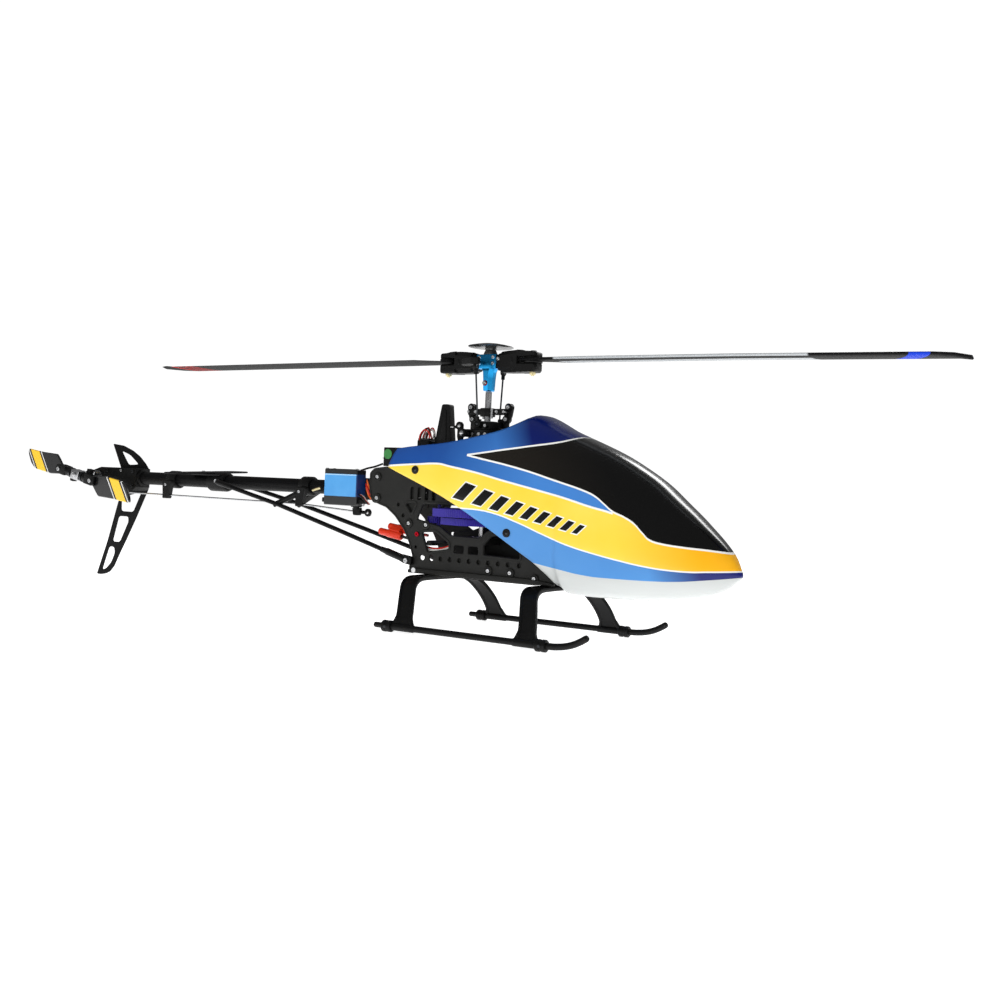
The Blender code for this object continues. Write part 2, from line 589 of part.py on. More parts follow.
def build_boom():
    bm = sleeve("X", (0, BOOM_Z), BOOM_X[0], BOOM_X[1], BOOM_R, BOOM_R - 0.7, 20)
    new_object("tail_boom", bm, carbon())
    guides = {"boom_guide_front": (-180.0, 88.8), "boom_guide_rear": (-345.0, 88.5)}
    for name, (x, low) in guides.items():
        hanger = [(-9.6, BOOM_Z + 8.2), (9.6, BOOM_Z + 8.2), (9.6, BOOM_Z - 4), (2, BOOM_Z - 9.5),
                  (-5, low + 3), (-6.5, low - 1.8), (-12.5, low - 1.8), (-14, low + 3), (-10.5, BOOM_Z - 5)]
        holes = [circle(0, BOOM_Z, BOOM_R + GAP, 18), circle(PUSHROD[0], PUSHROD[1], 1.5, 8)]
        new_object(name, prism("X", hanger, x - 3.5, x + 3.5, holes), black())
    clamp = [(-9, BOOM_Z - 8.5), (9, BOOM_Z - 8.5), (11, BOOM_Z + 6.9), (-11, BOOM_Z + 6.9)]
    new_object("stabilizer_clamp", prism("X", clamp, -293, -275, [circle(0, BOOM_Z, BOOM_R + GAP, 18)]),
               black())
    wing = prism("Z", rounded(-311, -47.2, -284, 47.2, 5), BOOM_Z + 7.2, BOOM_Z + 8.6)
    new_object("horizontal_stabilizer", wing, carbon())
    for side, sign in (("right", -1), ("left", 1)):
        brace = [(-56, sign * 22.4, 52), (-130, sign * 19.4, 71.4), (-200, sign * 16, 89),
                 (-271, sign * 12.8, 103.4)]
        new_object("boom_brace_" + side, sweep(brace, 1.9, 8), carbon())


def build_tail_case():
    side_view = ((-391, 97), (-391, 115), (-442, 115), (-457, 110.5), (-457, 99), (-446, 93.5), (-395, 93.5))
    case = prism("Y", side_view, -8.4, 8.4)
    bores = [rod("X", (0, BOOM_Z), -437, -380, 5.4, 16), rod("Y", (TAIL_X, BOOM_Z), -9, 5.6, 6.4, 16),
             rod("X", (0, BOOM_Z), BOOM_X[0] - GAP, -380, BOOM_R + GAP, 20),
             rod("X", (0, BOOM_Z), TAIL_X, -430, 5.4, 16)]
    new_object("tail_gearbox", fused(case, *bores, mode="DIFFERENCE"), black())
    fin = ((-447.2, 138.6), (-432, 137), (-418, 132.3), (-407.6, 126.8), (-399, 120), (-393.2, 113.8),
           (-391.8, 104), (-393.9, 94.8), (-410, 65.1), (-422, 44.6), (-431, 30), (-438, 17.5),
           (-444, 11.6), (-450.1, 9.2), (-457, 8), (-463, 8.2), (-449, 42.4), (-436.4, 80), (-431.8, 92),
           (-432.5, 112))
    holes = (((-433, 130.7), (-421, 127), (-409.6, 119.8), (-422.5, 118.4)),
             ((-430.5, 84), (-404, 90.5), (-413.9, 73.3), (-429.8, 73.3)),
             ((-433.6, 66.7), (-420.5, 66.7), (-420.1, 62.3), (-431.6, 42.8), (-441.3, 42.6)),
             ((-446, 35.6), (-439.4, 35.6), (-437.9, 31), (-442.5, 22), (-449.7, 15), (-455, 13.6)))
    new_object("vertical_fin", prism("Y", fin, 8.7, 10.3, holes), carbon())


def build_tail_rotor():
    hub_y = TAIL_HUB_Y
    shaft = ((5, 0), (5, 1.5), (-2.9, 1.5), (-2.9, 2.7), (-5, 4.7), (-7.4, 3.2), (-7.4, 1.5),
             (hub_y, 1.5), (hub_y, 0))
    centre = (TAIL_X, hub_y, BOOM_Z)
    hub = box((TAIL_X - 5.5, hub_y - 4.5, BOOM_Z - 4.5), (TAIL_X + 5.5, hub_y + 5.0, BOOM_Z + 4.5))
    spindle = rod("X", (hub_y, BOOM_Z), TAIL_X - 14, TAIL_X + 14, 1.3, 10)
    cross = turned_about(fused(hub, spindle), "Y", -TAIL_ANGLE, centre)
    new_object("tail_hub_shaft", fused(cross, turned("Y", (TAIL_X, BOOM_Z), shaft, 16)), steel(),
               pivot=centre)
    slider = sleeve("Y", (TAIL_X, BOOM_Z), -19.5, -13.5, 5.4, 1.5 + GAP, 16)
    ears = box((TAIL_X - 12.5, -18.3, BOOM_Z - 2), (TAIL_X + 12.5, -15.3, BOOM_Z + 2))
    clearance = rod("Y", (TAIL_X, BOOM_Z), -25, -10, 1.5 + GAP, 16)
    body = fused(fused(slider, ears), clearance, mode="DIFFERENCE")
    new_object("tail_pitch_slider", turned_about(body, "Y", -TAIL_ANGLE, centre), black(), pivot=centre)
    for name, sign in (("front", 1), ("rear", -1)):
        build_tail_grip(name, sign, centre)


def build_tail_grip(name, sign, centre):
    """Grip sleeve with two cheeks round the blade root, and its blade, both turned to rest."""
    hub_y = TAIL_HUB_Y
    barrel = rod("X", (hub_y, BOOM_Z), *sorted((TAIL_X + sign * 7, TAIL_X + sign * 18.5)), 4.6, 12)
    cheeks = []
    for low, high in ((2.1, 4.6), (-4.6, -2.1)):
        outline = [(TAIL_X + sign * x, BOOM_Z + z) for x, z in
                   ((15, -4.4), (26, -4.4), (28.5, -2.5), (28.5, 2.5), (26, 4.4), (15, 4.4))]
        hole = [circle(TAIL_X + sign * TAIL_BOLT_R, BOOM_Z, 1.5, 8)]
        cheeks.append(prism("Y", outline, hub_y + low, hub_y + high, hole))
    arm = box((TAIL_X + min(sign * 9, sign * 13), hub_y + 2, BOOM_Z + sign * 5 - 3.5),
              (TAIL_X + max(sign * 9, sign * 13), hub_y + 7, BOOM_Z + sign * 5 + 3.5))
    body = fused(barrel, *cheeks, arm)
    bore = rod("X", (hub_y, BOOM_Z), TAIL_X - 15, TAIL_X + 15, 1.3 + GAP, 10)
    body = fused(body, bore, mode="DIFFERENCE")
    new_object("tail_grip_" + name, turned_about(body, "Y", -TAIL_ANGLE, centre), black(), pivot=centre)
    shape = ((20.2, -2.8), (23, -4.4), (29, -6), (39, -8), (62, -9), (66, -8.6), (72, -5), (77, 1),
             (TAIL_R, 6), (TAIL_R, 9), (57, 9.5), (35, 11.5), (30, 9), (25, 4.9), (22, 4.2), (20.2, 2.8))
    outline = [(TAIL_X + sign * x, BOOM_Z - sign * z) for x, z in shape]
    hole = [circle(TAIL_X + sign * TAIL_BOLT_R, BOOM_Z, 1.5, 8)]
    blade = turned_about(prism("Y", outline, hub_y - 1.3, hub_y + 1.3, hole), "Y", -TAIL_ANGLE, centre)
    bolt_place = Vector((sign * TAIL_BOLT_R, 0, 0))
    bolt_place.rotate(Matrix.Rotation(math.radians(-TAIL_ANGLE), 3, "Y"))
    pivot = Vector(centre) + bolt_place
    new_object("tail_blade_" + name, blade, carbon(), pivot=pivot)


def build_tail_control():
    """Servo on the boom, its horn, the long pushrod and the bellcrank at the gearbox."""
    case = box((-141, -25.5, 96.5), (-106.5, -13.5, 116.5))
    ears = box((-146, -21, 99), (-101.5, -18, 114))
    holder = [(-14, BOOM_Z - 9), (-14, BOOM_Z + 9), (8, BOOM_Z + 9), (9, BOOM_Z - 9)]
    clamp = prism("X", holder, -137, -110, [circle(0, BOOM_Z, BOOM_R + GAP, 18)])
    new_object("tail_servo", fused(case, ears, clamp), material("servo_blue", (0.02, 0.12, 0.5), 0.35))
    boss = (-113, 92.4)
    horn = fused(prism("Y", slot(*boss, -113, 86.5, 2.4, 3), -17.5, -15.6),
                 rod("Z", (boss[0], -16.5), 86, 96.2, 0.8, 6))
    new_object("tail_servo_horn", horn, black(), pivot=(boss[0], -16.5, 92.4))
    rod_line = sweep([(x, *PUSHROD) for x in (-107, -180, -352, -413)], 0.8, 6)
    new_object("tail_pushrod", rod_line, steel())
    lever = prism("Z", ((-428, -18), (-422, -18), (-419, -12), (-419, -6), (-426, -6)), 90, 92.6)
    new_object("tail_bellcrank", lever, black(), pivot=(-422, -9, 91))


clear_scene()
build_frame()
build_canopy()
build_landing_gear()
build_rotor_core()
for part_name, part_sign in (("front", 1), ("rear", -1)):
    build_grip("main_grip_" + part_name, part_sign)
    build_main_blade("main_blade_" + part_name, part_sign)
build_swashplate()
build_cyclic_servos()
build_drive()
build_electronics()
build_boom()
build_tail_case()
build_tail_rotor()
build_tail_control()
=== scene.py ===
"""Looks of the remote control helicopter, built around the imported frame.

Lengths in the helpers are millimetres from the foot of the main shaft: +X to the nose, +Y to the
left side, +Z up. The shaft's place comes from the frame.
"""

import json
import math

import bmesh
import bpy
from mathutils import Matrix, Vector


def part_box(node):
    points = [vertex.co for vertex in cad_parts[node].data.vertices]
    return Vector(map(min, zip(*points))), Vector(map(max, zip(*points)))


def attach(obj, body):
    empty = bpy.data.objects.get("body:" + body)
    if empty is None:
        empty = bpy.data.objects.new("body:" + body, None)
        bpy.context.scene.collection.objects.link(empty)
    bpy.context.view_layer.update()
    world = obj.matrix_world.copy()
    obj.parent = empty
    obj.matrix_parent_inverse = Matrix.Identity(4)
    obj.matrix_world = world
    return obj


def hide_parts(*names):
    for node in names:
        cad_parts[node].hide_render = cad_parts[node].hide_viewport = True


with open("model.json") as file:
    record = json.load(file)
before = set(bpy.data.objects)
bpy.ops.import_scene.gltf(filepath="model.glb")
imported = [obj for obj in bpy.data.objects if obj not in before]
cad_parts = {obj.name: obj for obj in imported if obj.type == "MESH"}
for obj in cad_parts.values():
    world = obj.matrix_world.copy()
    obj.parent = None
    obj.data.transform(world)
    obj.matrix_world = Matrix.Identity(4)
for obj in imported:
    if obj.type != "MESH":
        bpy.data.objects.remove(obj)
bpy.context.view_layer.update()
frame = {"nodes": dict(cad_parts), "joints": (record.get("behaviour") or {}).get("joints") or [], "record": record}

MM = 0.001
NODES = frame["nodes"]


def box_mm(node):
    """Lowest and highest corner of a CAD node, in millimetres from the main shaft."""
    low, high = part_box(node)
    return [Vector((p.x / MM - SHAFT_X, p.y / MM, p.z / MM)) for p in (low, high)]


SHAFT_X = sum(corner.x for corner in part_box("main_shaft")) / 2 / MM
ROTOR_Z = sum(corner.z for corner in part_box("main_blade_rear")) / 2 / MM
BOOM_Z = sum(corner.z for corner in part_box("tail_boom")) / 2 / MM
TAIL_HUB = [joint["pos_m"] for joint in frame["joints"] if joint["name"] == "tail_rotor_spin"][0]
TAIL_X, TAIL_Y = TAIL_HUB[0] / MM - SHAFT_X, TAIL_HUB[1] / MM
TAIL_ANGLE = math.radians(12.0)       # the tail blades lie at this angle at rest
BLADE_BOLT_R = 38.8
TAIL_BOLT_R = 24.0
PLATE_OUT = box_mm("frame_plate_left")[1].y


# ---------------------------------------------------------------- shader numbers

class Number:
    """A socket of a shader tree, used like a number in sums, products and comparisons."""

    def __init__(self, tree, socket):
        self.tree = tree
        self.socket = socket

    def calc(self, operation, *others):
        node = self.tree.nodes.new("ShaderNodeMath")
        node.operation = operation
        for place, value in enumerate((self,) + others):
            connect(self.tree, value, node.inputs[place])
        return Number(self.tree, node.outputs[0])

    def __add__(self, other):
        return self.calc("ADD", other)

    def __sub__(self, other):
        return self.calc("SUBTRACT", other)

    def __mul__(self, other):
        return self.calc("MULTIPLY", other)

    def __truediv__(self, other):
        return self.calc("DIVIDE", other)

    def abs(self):
        return self.calc("ABSOLUTE")

    def flipped(self):
        return self * -1 + 1

    def either(self, other):
        return self.calc("MAXIMUM", other)

    def above(self, limit, soft=0.12):
        """1 where this is above the limit, 0 where it is below, with a soft edge in millimetres."""
        made = (self - limit) / soft + 0.5
        made.socket.node.use_clamp = True
        return made

    def below(self, limit, soft=0.12):
        return self.above(limit, soft).flipped()


def connect(tree, value, socket):
    if isinstance(value, Number):
        tree.links.new(value.socket, socket)
    else:
        socket.default_value = value


def colour(code):
    """Linear colour from the usual hexadecimal code."""
    parts = [int(code[k:k + 2], 16) / 255 for k in (0, 2, 4)]
    return tuple(c / 12.92 if c < 0.04045 else ((c + 0.055) / 1.055) ** 2.4 for c in parts) + (1.0,)


def mixed(tree, factor, first, second):
    """Colour socket between two colours, each a hexadecimal code or a socket."""
    node = tree.nodes.new("ShaderNodeMix")
    node.data_type = "RGBA"
    connect(tree, factor, node.inputs[0])
    for value, socket in ((first, node.inputs[6]), (second, node.inputs[7])):
        if isinstance(value, str):
            socket.default_value = colour(value)
        else:
            tree.links.new(value, socket)
    return node.outputs[2]


def place_numbers(tree):
    """x, y and z of the point on the piece, in millimetres from the main shaft."""
    coordinates = tree.nodes.new("ShaderNodeTexCoord")
    split = tree.nodes.new("ShaderNodeSeparateXYZ")
    tree.links.new(coordinates.outputs["Object"], split.inputs[0])
    x, y, z = (Number(tree, socket) / MM for socket in split.outputs)
    return x - SHAFT_X, y, z


def noise(tree, scale, detail=3.0, stretch=(1, 1, 1)):
    """Noise from 0 to 1 in object space; scale is in waves per metre."""
    coordinates = tree.nodes.new("ShaderNodeTexCoord")
    mapping = tree.nodes.new("ShaderNodeMapping")
    mapping.inputs["Scale"].default_value = stretch
    tree.links.new(coordinates.outputs["Object"], mapping.inputs[0])
    texture = tree.nodes.new("ShaderNodeTexNoise")
    texture.inputs["Scale"].default_value = scale
    texture.inputs["Detail"].default_value = detail
    tree.links.new(mapping.outputs[0], texture.inputs["Vector"])
    return Number(tree, texture.outputs[0])


def curve(tree, x, table):
    """Number that follows the table's (x, value) points."""
    low_x, high_x = table[0][0], table[-1][0]
    values = [value for _, value in table]
    low, high = min(values), max(values) + 0.001
    node = tree.nodes.new("ShaderNodeFloatCurve")
    line = node.mapping.curves[0]
    spots = [((at - low_x) / (high_x - low_x), (value - low) / (high - low)) for at, value in table]
    line.points[0].location, line.points[1].location = spots[0], spots[-1]
    for spot in spots[1:-1]:
        line.points.new(*spot)
    for point in line.points:
        point.handle_type = "AUTO_CLAMPED"
    node.mapping.update()
    connect(tree, (x - low_x) / (high_x - low_x), node.inputs["Value"])
    return Number(tree, node.outputs[0]) * (high - low) + low


def new_shader(name, base, roughness=0.45, metallic=0.0, coat=0.0, specular=0.5):
    """Material with a Principled shader. Returns the material, its tree and the shader."""
    made = bpy.data.materials.new(name)
    made.use_nodes = True
    tree = made.node_tree
    shader = tree.nodes["Principled BSDF"]
    shader.inputs["Base Color"].default_value = colour(base)
    shader.inputs["Roughness"].default_value = roughness
    shader.inputs["Metallic"].default_value = metallic
    shader.inputs["Coat Weight"].default_value = coat
    shader.inputs["Coat Roughness"].default_value = 0.05
    shader.inputs["Specular IOR Level"].default_value = specular
    return made, tree, shader


def bump(tree, shader, height, distance):
    node = tree.nodes.new("ShaderNodeBump")
    node.inputs["Strength"].default_value = 0.6
    node.inputs["Distance"].default_value = distance
    connect(tree, height, node.inputs["Height"])
    tree.links.new(node.outputs[0], shader.inputs["Normal"])


def moulded(name, dark, light, roughness=0.42, grain=0.00004, specular=0.4):
    """Moulded plastic: fine grain, slight cloudiness and uneven gloss."""
    made, tree, shader = new_shader(name, dark, specular=specular)
    tree.links.new(mixed(tree, noise(tree, 60), dark, light), shader.inputs["Base Color"])
    connect(tree, noise(tree, 220) * 0.22 + (roughness - 0.11), shader.inputs["Roughness"])
    bump(tree, shader, noise(tree, 2600, 2.0), grain)
    return made


def polished(name, dark, light, roughness, stretch=(1, 1, 1)):
    """Metal with fine turning or rolling lines along the axes that aren't stretched."""
    made, tree, shader = new_shader(name, dark, metallic=1.0)
    lines = noise(tree, 900, 2.0, stretch)
    tree.links.new(mixed(tree, lines, dark, light), shader.inputs["Base Color"])
    connect(tree, lines * 0.16 + roughness, shader.inputs["Roughness"])
    bump(tree, shader, lines, 0.00001)
    return made


def woven(name, dark, light, cell=2.2, roughness=0.3, coat=0.6, specular=0.12):
    """Carbon sheet: a twill of shiny and dull cells under clear resin."""
    made, tree, shader = new_shader(name, dark, coat=coat, specular=specular)
    x, y, z = place_numbers(tree)
    weave = ((x + y * 0.9 + z) * (math.pi / cell)).calc("SINE")
    weft = ((x - y * 0.9 - z) * (math.pi / cell)).calc("SINE")
    twill = (weave * weft * 0.5 + 0.5)
    tree.links.new(mixed(tree, twill, dark, light), shader.inputs["Base Color"])
    connect(tree, twill * 0.12 + roughness, shader.inputs["Roughness"])
    bump(tree, shader, twill, 0.00002)
    return made


# ---------------------------------------------------------------- canopy and blade paint

WINDOW_LOW = ((-70, 150), (10.8, 134.9), (54, 126.6), (83, 118.9), (106, 112.4), (113, 109.5), (121, 104),
              (128, 99), (136, 95.8), (143, 91.9), (150, 85.4), (156, 80.6), (162, 79), (178.5, 77.1),
              (194, 76), (214, 73.6))
WINDOW_TOP = ((-70, 125), (10.8, 134.9), (35.3, 138.6), (58.8, 142.2), (79.1, 146), (86, 148.4),
              (91.3, 151.5),
              (93, 190), (214, 190))
YELLOW_TOP = ((-70, 124), (-54.5, 125.3), (-38.7, 126.2), (-19.5, 127.2), (-5.8, 125.3), (17.5, 121.5),
              (40, 116.6), (64, 111.6), (89, 106.2), (110.6, 100.6), (128.1, 96.5), (214, 60))
YELLOW_LOW = ((-70, 96), (16, 95.4), (24, 95), (33.9, 93.6), (54.2, 88.1), (76.4, 80.2), (97, 73.4),
              (116, 69), (136, 65.2), (153, 62.5), (167, 61.1), (180, 60.7), (195, 61.5), (214, 62.8))
BELLY_TOP = ((-70, 80), (60, 60.2), (71.4, 58.1), (89.7, 55.1), (107.6, 52.6), (120.5, 51.9), (156.7, 52.2),
             (173.4, 53), (192.3, 55.2), (204, 56.8), (214, 58.3))
LINE = 1.3                    # width of the white outlines


def canopy_paint():
    """Blue, yellow and pale bands, a dark window with a white outline and a painted brownish reflection towards
    its lower rear, and a plain speed stripe.
    """
    made, tree, shader = new_shader("canopy_paint", "2a63b4", roughness=0.2, coat=0.2, specular=0.3)
    x, _, z = place_numbers(tree)
    window_low, window_top = curve(tree, x, WINDOW_LOW), curve(tree, x, WINDOW_TOP)
    yellow_low, belly_top = curve(tree, x, YELLOW_LOW), curve(tree, x, BELLY_TOP)
    yellow_top = curve(tree, x, YELLOW_TOP).either(window_low * x.above(127, 2.0))
    cloud = noise(tree, 18)
    crest = (z * 0.5 + x).above(118, 30.0) * z.above(138, 10.0)
    strip = (x + cloud * 20).above(30, 90.0)
    upper = mixed(tree, strip, mixed(tree, cloud, "143f88", "2056a6"), "3f80cc")
    upper = mixed(tree, crest, upper, "04175e")
    lower = mixed(tree, cloud * 0.8, "3a82cc", "5c9fdc")
    lower = mixed(tree, (x + z * 0.3).above(190, 34.0), lower, "10186e")
    yellow = mixed(tree, cloud, "ffd024", "ffe569")
    yellow = mixed(tree, (x + cloud * 24).above(170, 60.0), yellow, "ffb818")
    pale = mixed(tree, cloud, "c6cac9", "d2d5d4")
    paint = mixed(tree, z.above(belly_top, 0.2), pale, lower)
    paint = mixed(tree, z.above(yellow_low - 1.0), paint, "f4f4f0")
    paint = mixed(tree, z.above(yellow_low), paint, yellow)
    paint = mixed(tree, z.above(yellow_top - 0.1), paint, "f4f4f0")
    paint = mixed(tree, z.above(yellow_top + LINE), paint, upper)
    outline = z.above(window_low - LINE) * z.below(window_top + LINE) * x.above(7.6)
    paint = mixed(tree, outline, paint, "f4f4f0")
    window = z.above(window_low) * z.below(window_top) * x.above(11)
    # painted reflection: the near-black window turns brownish towards its lower rear, painted in place of a
    # reflection
    smoke_and_reflection = mixed(tree, (x + z * 0.6).below(150, 90.0), "040404", "1d1913")
    paint = mixed(tree, window, paint, smoke_and_reflection)
    rise = z - (x * -0.238 + 109.6)
    along = x - rise * 0.8
    half = along * -0.036 + 7.4
    beat = (along * (along * 0.0003 + 0.05)).calc("FRACT") - 0.5
    for grow, code in ((0.9, "f4f4f0"), (0.0, "0b0b0c")):
        slash = beat.abs().below(grow * 0.05 + 0.27, 0.02) * rise.abs().below(half + grow)
        graphic = slash * along.above(-1 - grow) * along.below(106 + grow)
        paint = mixed(tree, graphic, paint, code)
    tree.links.new(paint, shader.inputs["Base Color"])
    connect(tree, noise(tree, 140) * 0.06 + 0.2, shader.inputs["Roughness"])
    return made


def main_blade_paint(name, marks, painted_sheen):
    """Glossy carbon blade with slanted marks near its tip and a painted sheen: a pale band of painted reflection
    along its span.

    marks are (radius, half width, colour); painted_sheen is (nearest, furthest radius) of that painted reflection,
    or None.
    """
    made = woven(name, "0a0a0b", "161617", cell=3.0, roughness=0.5, coat=0.0)
    tree = made.node_tree
    shader = tree.nodes["Principled BSDF"]
    shader.inputs["Specular IOR Level"].default_value = 0.06
    x, y, _ = place_numbers(tree)
    radius = x.abs()
    paint = shader.inputs["Base Color"].links[0].from_socket
    # painted reflection: a pale grey sheen over most of the chord, with a dark strip left near the leading edge
    if painted_sheen:
        stripe = y.above(-2, 0.3).either(y.below(-9.8, 0.3)) * radius.above(painted_sheen[0],
                1.5) * radius.below(painted_sheen[1], 1.5)
        paint = mixed(tree, stripe, paint, "b9bdc0")
    for middle, half, code in marks:
        stripe = (radius + y * 0.5 - middle).abs().below(half, 0.3)
        paint = mixed(tree, stripe, paint, code)
    tree.links.new(paint, shader.inputs["Base Color"])
    return made


def tail_blade_paint():
    """Black tail blade with a slanted yellow stripe between two thin white lines."""
    made, tree, shader = new_shader("tail_blade_paint", "0b0b0c", roughness=0.3, coat=0.4)
    x, _, z = place_numbers(tree)
    across, up = x - TAIL_X, z - BOOM_Z
    radial = across * math.cos(TAIL_ANGLE) - up * math.sin(TAIL_ANGLE)
    side = across * math.sin(TAIL_ANGLE) + up * math.cos(TAIL_ANGLE)
    sign = radial.above(0, 0.01) * 2 - 1
    off = ((radial + side * 0.95) * sign - 61).abs()
    cloud = noise(tree, 60)
    paint = mixed(tree, cloud, "08080a", "151517")
    paint = mixed(tree, (off - 10.6).abs().below(0.65), paint, "f2f2ee")
    paint = mixed(tree, off.below(7.2), paint, mixed(tree, cloud, "ffc412", "ffd534"))
    tree.links.new(paint, shader.inputs["Base Color"])
    connect(tree, noise(tree, 160) * 0.12 + 0.24, shader.inputs["Roughness"])
    return made


def servo_paint():
    """Navy case with plain sky-blue label panels and black end caps."""
    made, tree, shader = new_shader("servo_paint", "0d2450", roughness=0.32, coat=0.3)
    x, y, z = place_numbers(tree)
    body_x, body_z = (-141, -106.5), (91.6, 121.4)
    cloud = noise(tree, 90)
    paint = mixed(tree, cloud, "0c2a5c", "123a7a")
    panel = z.above(body_z[0] + 7.4) * z.below(body_z[1] - 4.2) * x.below(body_x[1] - 0.7)
    paint = mixed(tree, panel, paint, mixed(tree, cloud, "3f93d8", "57a8e6"))
    frame_line = (z - (body_z[1] - 4.8)).abs().below(0.4) * x.below(body_x[1] - 0.7)
    paint = mixed(tree, frame_line, paint, "a9d2f2")
    caps = z.below(body_z[0] + 7.4).either(z.above(body_z[1] - 4.2)).either(y.above(-12.5))
    paint = mixed(tree, caps, paint, "111214")
    tree.links.new(paint, shader.inputs["Base Color"])
    connect(tree, noise(tree, 260) * 0.12 + 0.26, shader.inputs["Roughness"])
    bump(tree, shader, noise(tree, 2600, 2.0), 0.00002)
    return made


BLACK = moulded("moulded_black", "070707", "121212", roughness=0.46, specular=0.2)
FRAME_BLACK = moulded("frame_black", "181817", "242422", roughness=0.52, grain=0.00006, specular=0.25)
RUBBER = moulded("rubber_black", "0b0b0b", "141414", roughness=0.6, specular=0.3)
CARBON = woven("carbon_sheet", "070708", "0f0f10", roughness=0.42, coat=0.0)
STEEL = polished("polished_steel", "9a9b9d", "dcdddf", 0.14, (1, 1, 0.1))
SCREW = polished("screw_steel", "b5b6b8", "eeeff0", 0.2)
DARK_METAL = polished("dark_metal", "2b2c2e", "55575a", 0.24)
ANODISED = polished("blue_anodised", "1f8fd0", "2fa4e2", 0.24, (1, 1, 0.2))
VIOLET = moulded("violet_nylon", "2d2288", "3a2e9c", roughness=0.4)
BRASS = polished("brass", "c9b878", "f2e8c4", 0.3)
RED = moulded("plug_red", "d8280f", "f04420", roughness=0.36)
RED_ANODISED = polished("red_anodised", "a01020", "d02035", 0.25)
WIRE_RED = moulded("wire_red", "b01810", "cf2a1c", roughness=0.4)
WIRE_BLACK = moulded("wire_black", "0c0c0c", "161616", roughness=0.45)
WIRE_WHITE = moulded("wire_white", "cfcfca", "e6e6e0", roughness=0.45)
WIRE_ORANGE = moulded("wire_orange", "c8501a", "e06a2a", roughness=0.4)
GREEN = moulded("green_disc", "2f7a3c", "4a9450", roughness=0.4)
SHELL_INSIDE = moulded("shell_inside", "8f9294", "a8abad", roughness=0.6, grain=0.0001)
WRAP = moulded("battery_wrap", "15171c", "20242c", roughness=0.3, grain=0.00008)
CANOPY_PAINT = canopy_paint()
SERVO_PAINT = servo_paint()
TAIL_BLADE_PAINT = tail_blade_paint()


# ---------------------------------------------------------------- mesh helpers

def place(axis, u, v, w):
    return {"X": (w, u, v), "Y": (u, w, v), "Z": (u, v, w)}[axis]


def prism(axis, outline, low, high, holes=()):
    """Outline with holes, extruded from low to high along an axis."""
    from mathutils.geometry import tessellate_polygon
    loops = [list(outline)] + [list(hole) for hole in holes]
    bm = bmesh.new()
    flat = [point for loop in loops for point in loop]
    lower = [bm.verts.new(place(axis, u, v, low)) for u, v in flat]
    upper = [bm.verts.new(place(axis, u, v, high)) for u, v in flat]
    for tri in tessellate_polygon([[Vector((u, v, 0)) for u, v in loop] for loop in loops]):
        bm.faces.new([lower[k] for k in tri])
        bm.faces.new([upper[k] for k in tri])
    start = 0
    for loop in loops:
        for k in range(len(loop)):
            a, b = start + k, start + (k + 1) % len(loop)
            bm.faces.new((lower[a], lower[b], upper[b], upper[a]))
        start += len(loop)
    return bm


def block(low, high):
    return prism("Z", ((low[0], low[1]), (high[0], low[1]), (high[0], high[1]), (low[0], high[1])),
                 low[2], high[2])


def circle(u, v, radius, count=16):
    return [(u + radius * math.cos(math.tau * k / count), v + radius * math.sin(math.tau * k / count))
            for k in range(count)]


def softened(outline, radius, steps=4):
    """Outline with each corner rounded to about the radius."""
    points = [Vector(p) for p in outline]
    made = []
    for k, corner in enumerate(points):
        before, after = points[k - 1] - corner, points[(k + 1) % len(points)] - corner
        cut = min(radius, before.length * 0.45, after.length * 0.45)
        start, end = corner + before.normalized() * cut, corner + after.normalized() * cut
        for j in range(steps + 1):
            t = j / steps
            made.append(start * (1 - t) ** 2 + corner * 2 * t * (1 - t) + end * t * t)
    return [tuple(p) for p in made]


def lathe(profile, centre=(0, 0, 0), direction=(0, 0, 1), count=24, hexagon=()):
    """Solid of revolution about a direction. Rings whose numbers are in hexagon are six-sided."""
    turn = Vector(direction).to_track_quat("Z", "Y").to_matrix()
    bm = bmesh.new()
    rings = []
    for number, (height, radius) in enumerate(profile):
        ring = []
        for k in range(count if radius > 0 else 1):
            angle = math.tau * k / count
            r = radius
            if number in hexagon:
                r *= math.cos(math.pi / 6) / math.cos(angle % (math.pi / 3) - math.pi / 6)
            spot = Vector((r * math.cos(angle), r * math.sin(angle), height))
            ring.append(bm.verts.new(turn @ spot + Vector(centre)))
        rings.append(ring)
    for lower, upper in zip(rings, rings[1:]):
        for k in range(count):
            n = (k + 1) % count
            corners = [lower[k % len(lower)], lower[n % len(lower)],
                       upper[n % len(upper)], upper[k % len(upper)]]
            face = [v for i, v in enumerate(corners) if v not in corners[:i]]
            if len(face) > 2:
                bm.faces.new(face)
    if profile[0][1] > 0 and profile[-1][1] > 0:
        for k in range(count):
            n = (k + 1) % count
            bm.faces.new((rings[-1][k], rings[-1][n], rings[0][n], rings[0][k]))
    return bm


def smooth_path(points, steps=6):
    """Catmull-Rom curve through the points."""
    spots = [Vector(p) for p in points]
    made = []
    for k in range(len(spots) - 1):
        a, b = spots[max(k - 1, 0)], spots[k]
        c, d = spots[k + 1], spots[min(k + 2, len(spots) - 1)]
        for j in range(steps):
            t = j / steps
            made.append(0.5 * (2 * b + (c - a) * t + (2 * a - 5 * b + 4 * c - d) * t * t
                               + (3 * b - a - 3 * c + d) * t ** 3))
    return made + [spots[-1]]


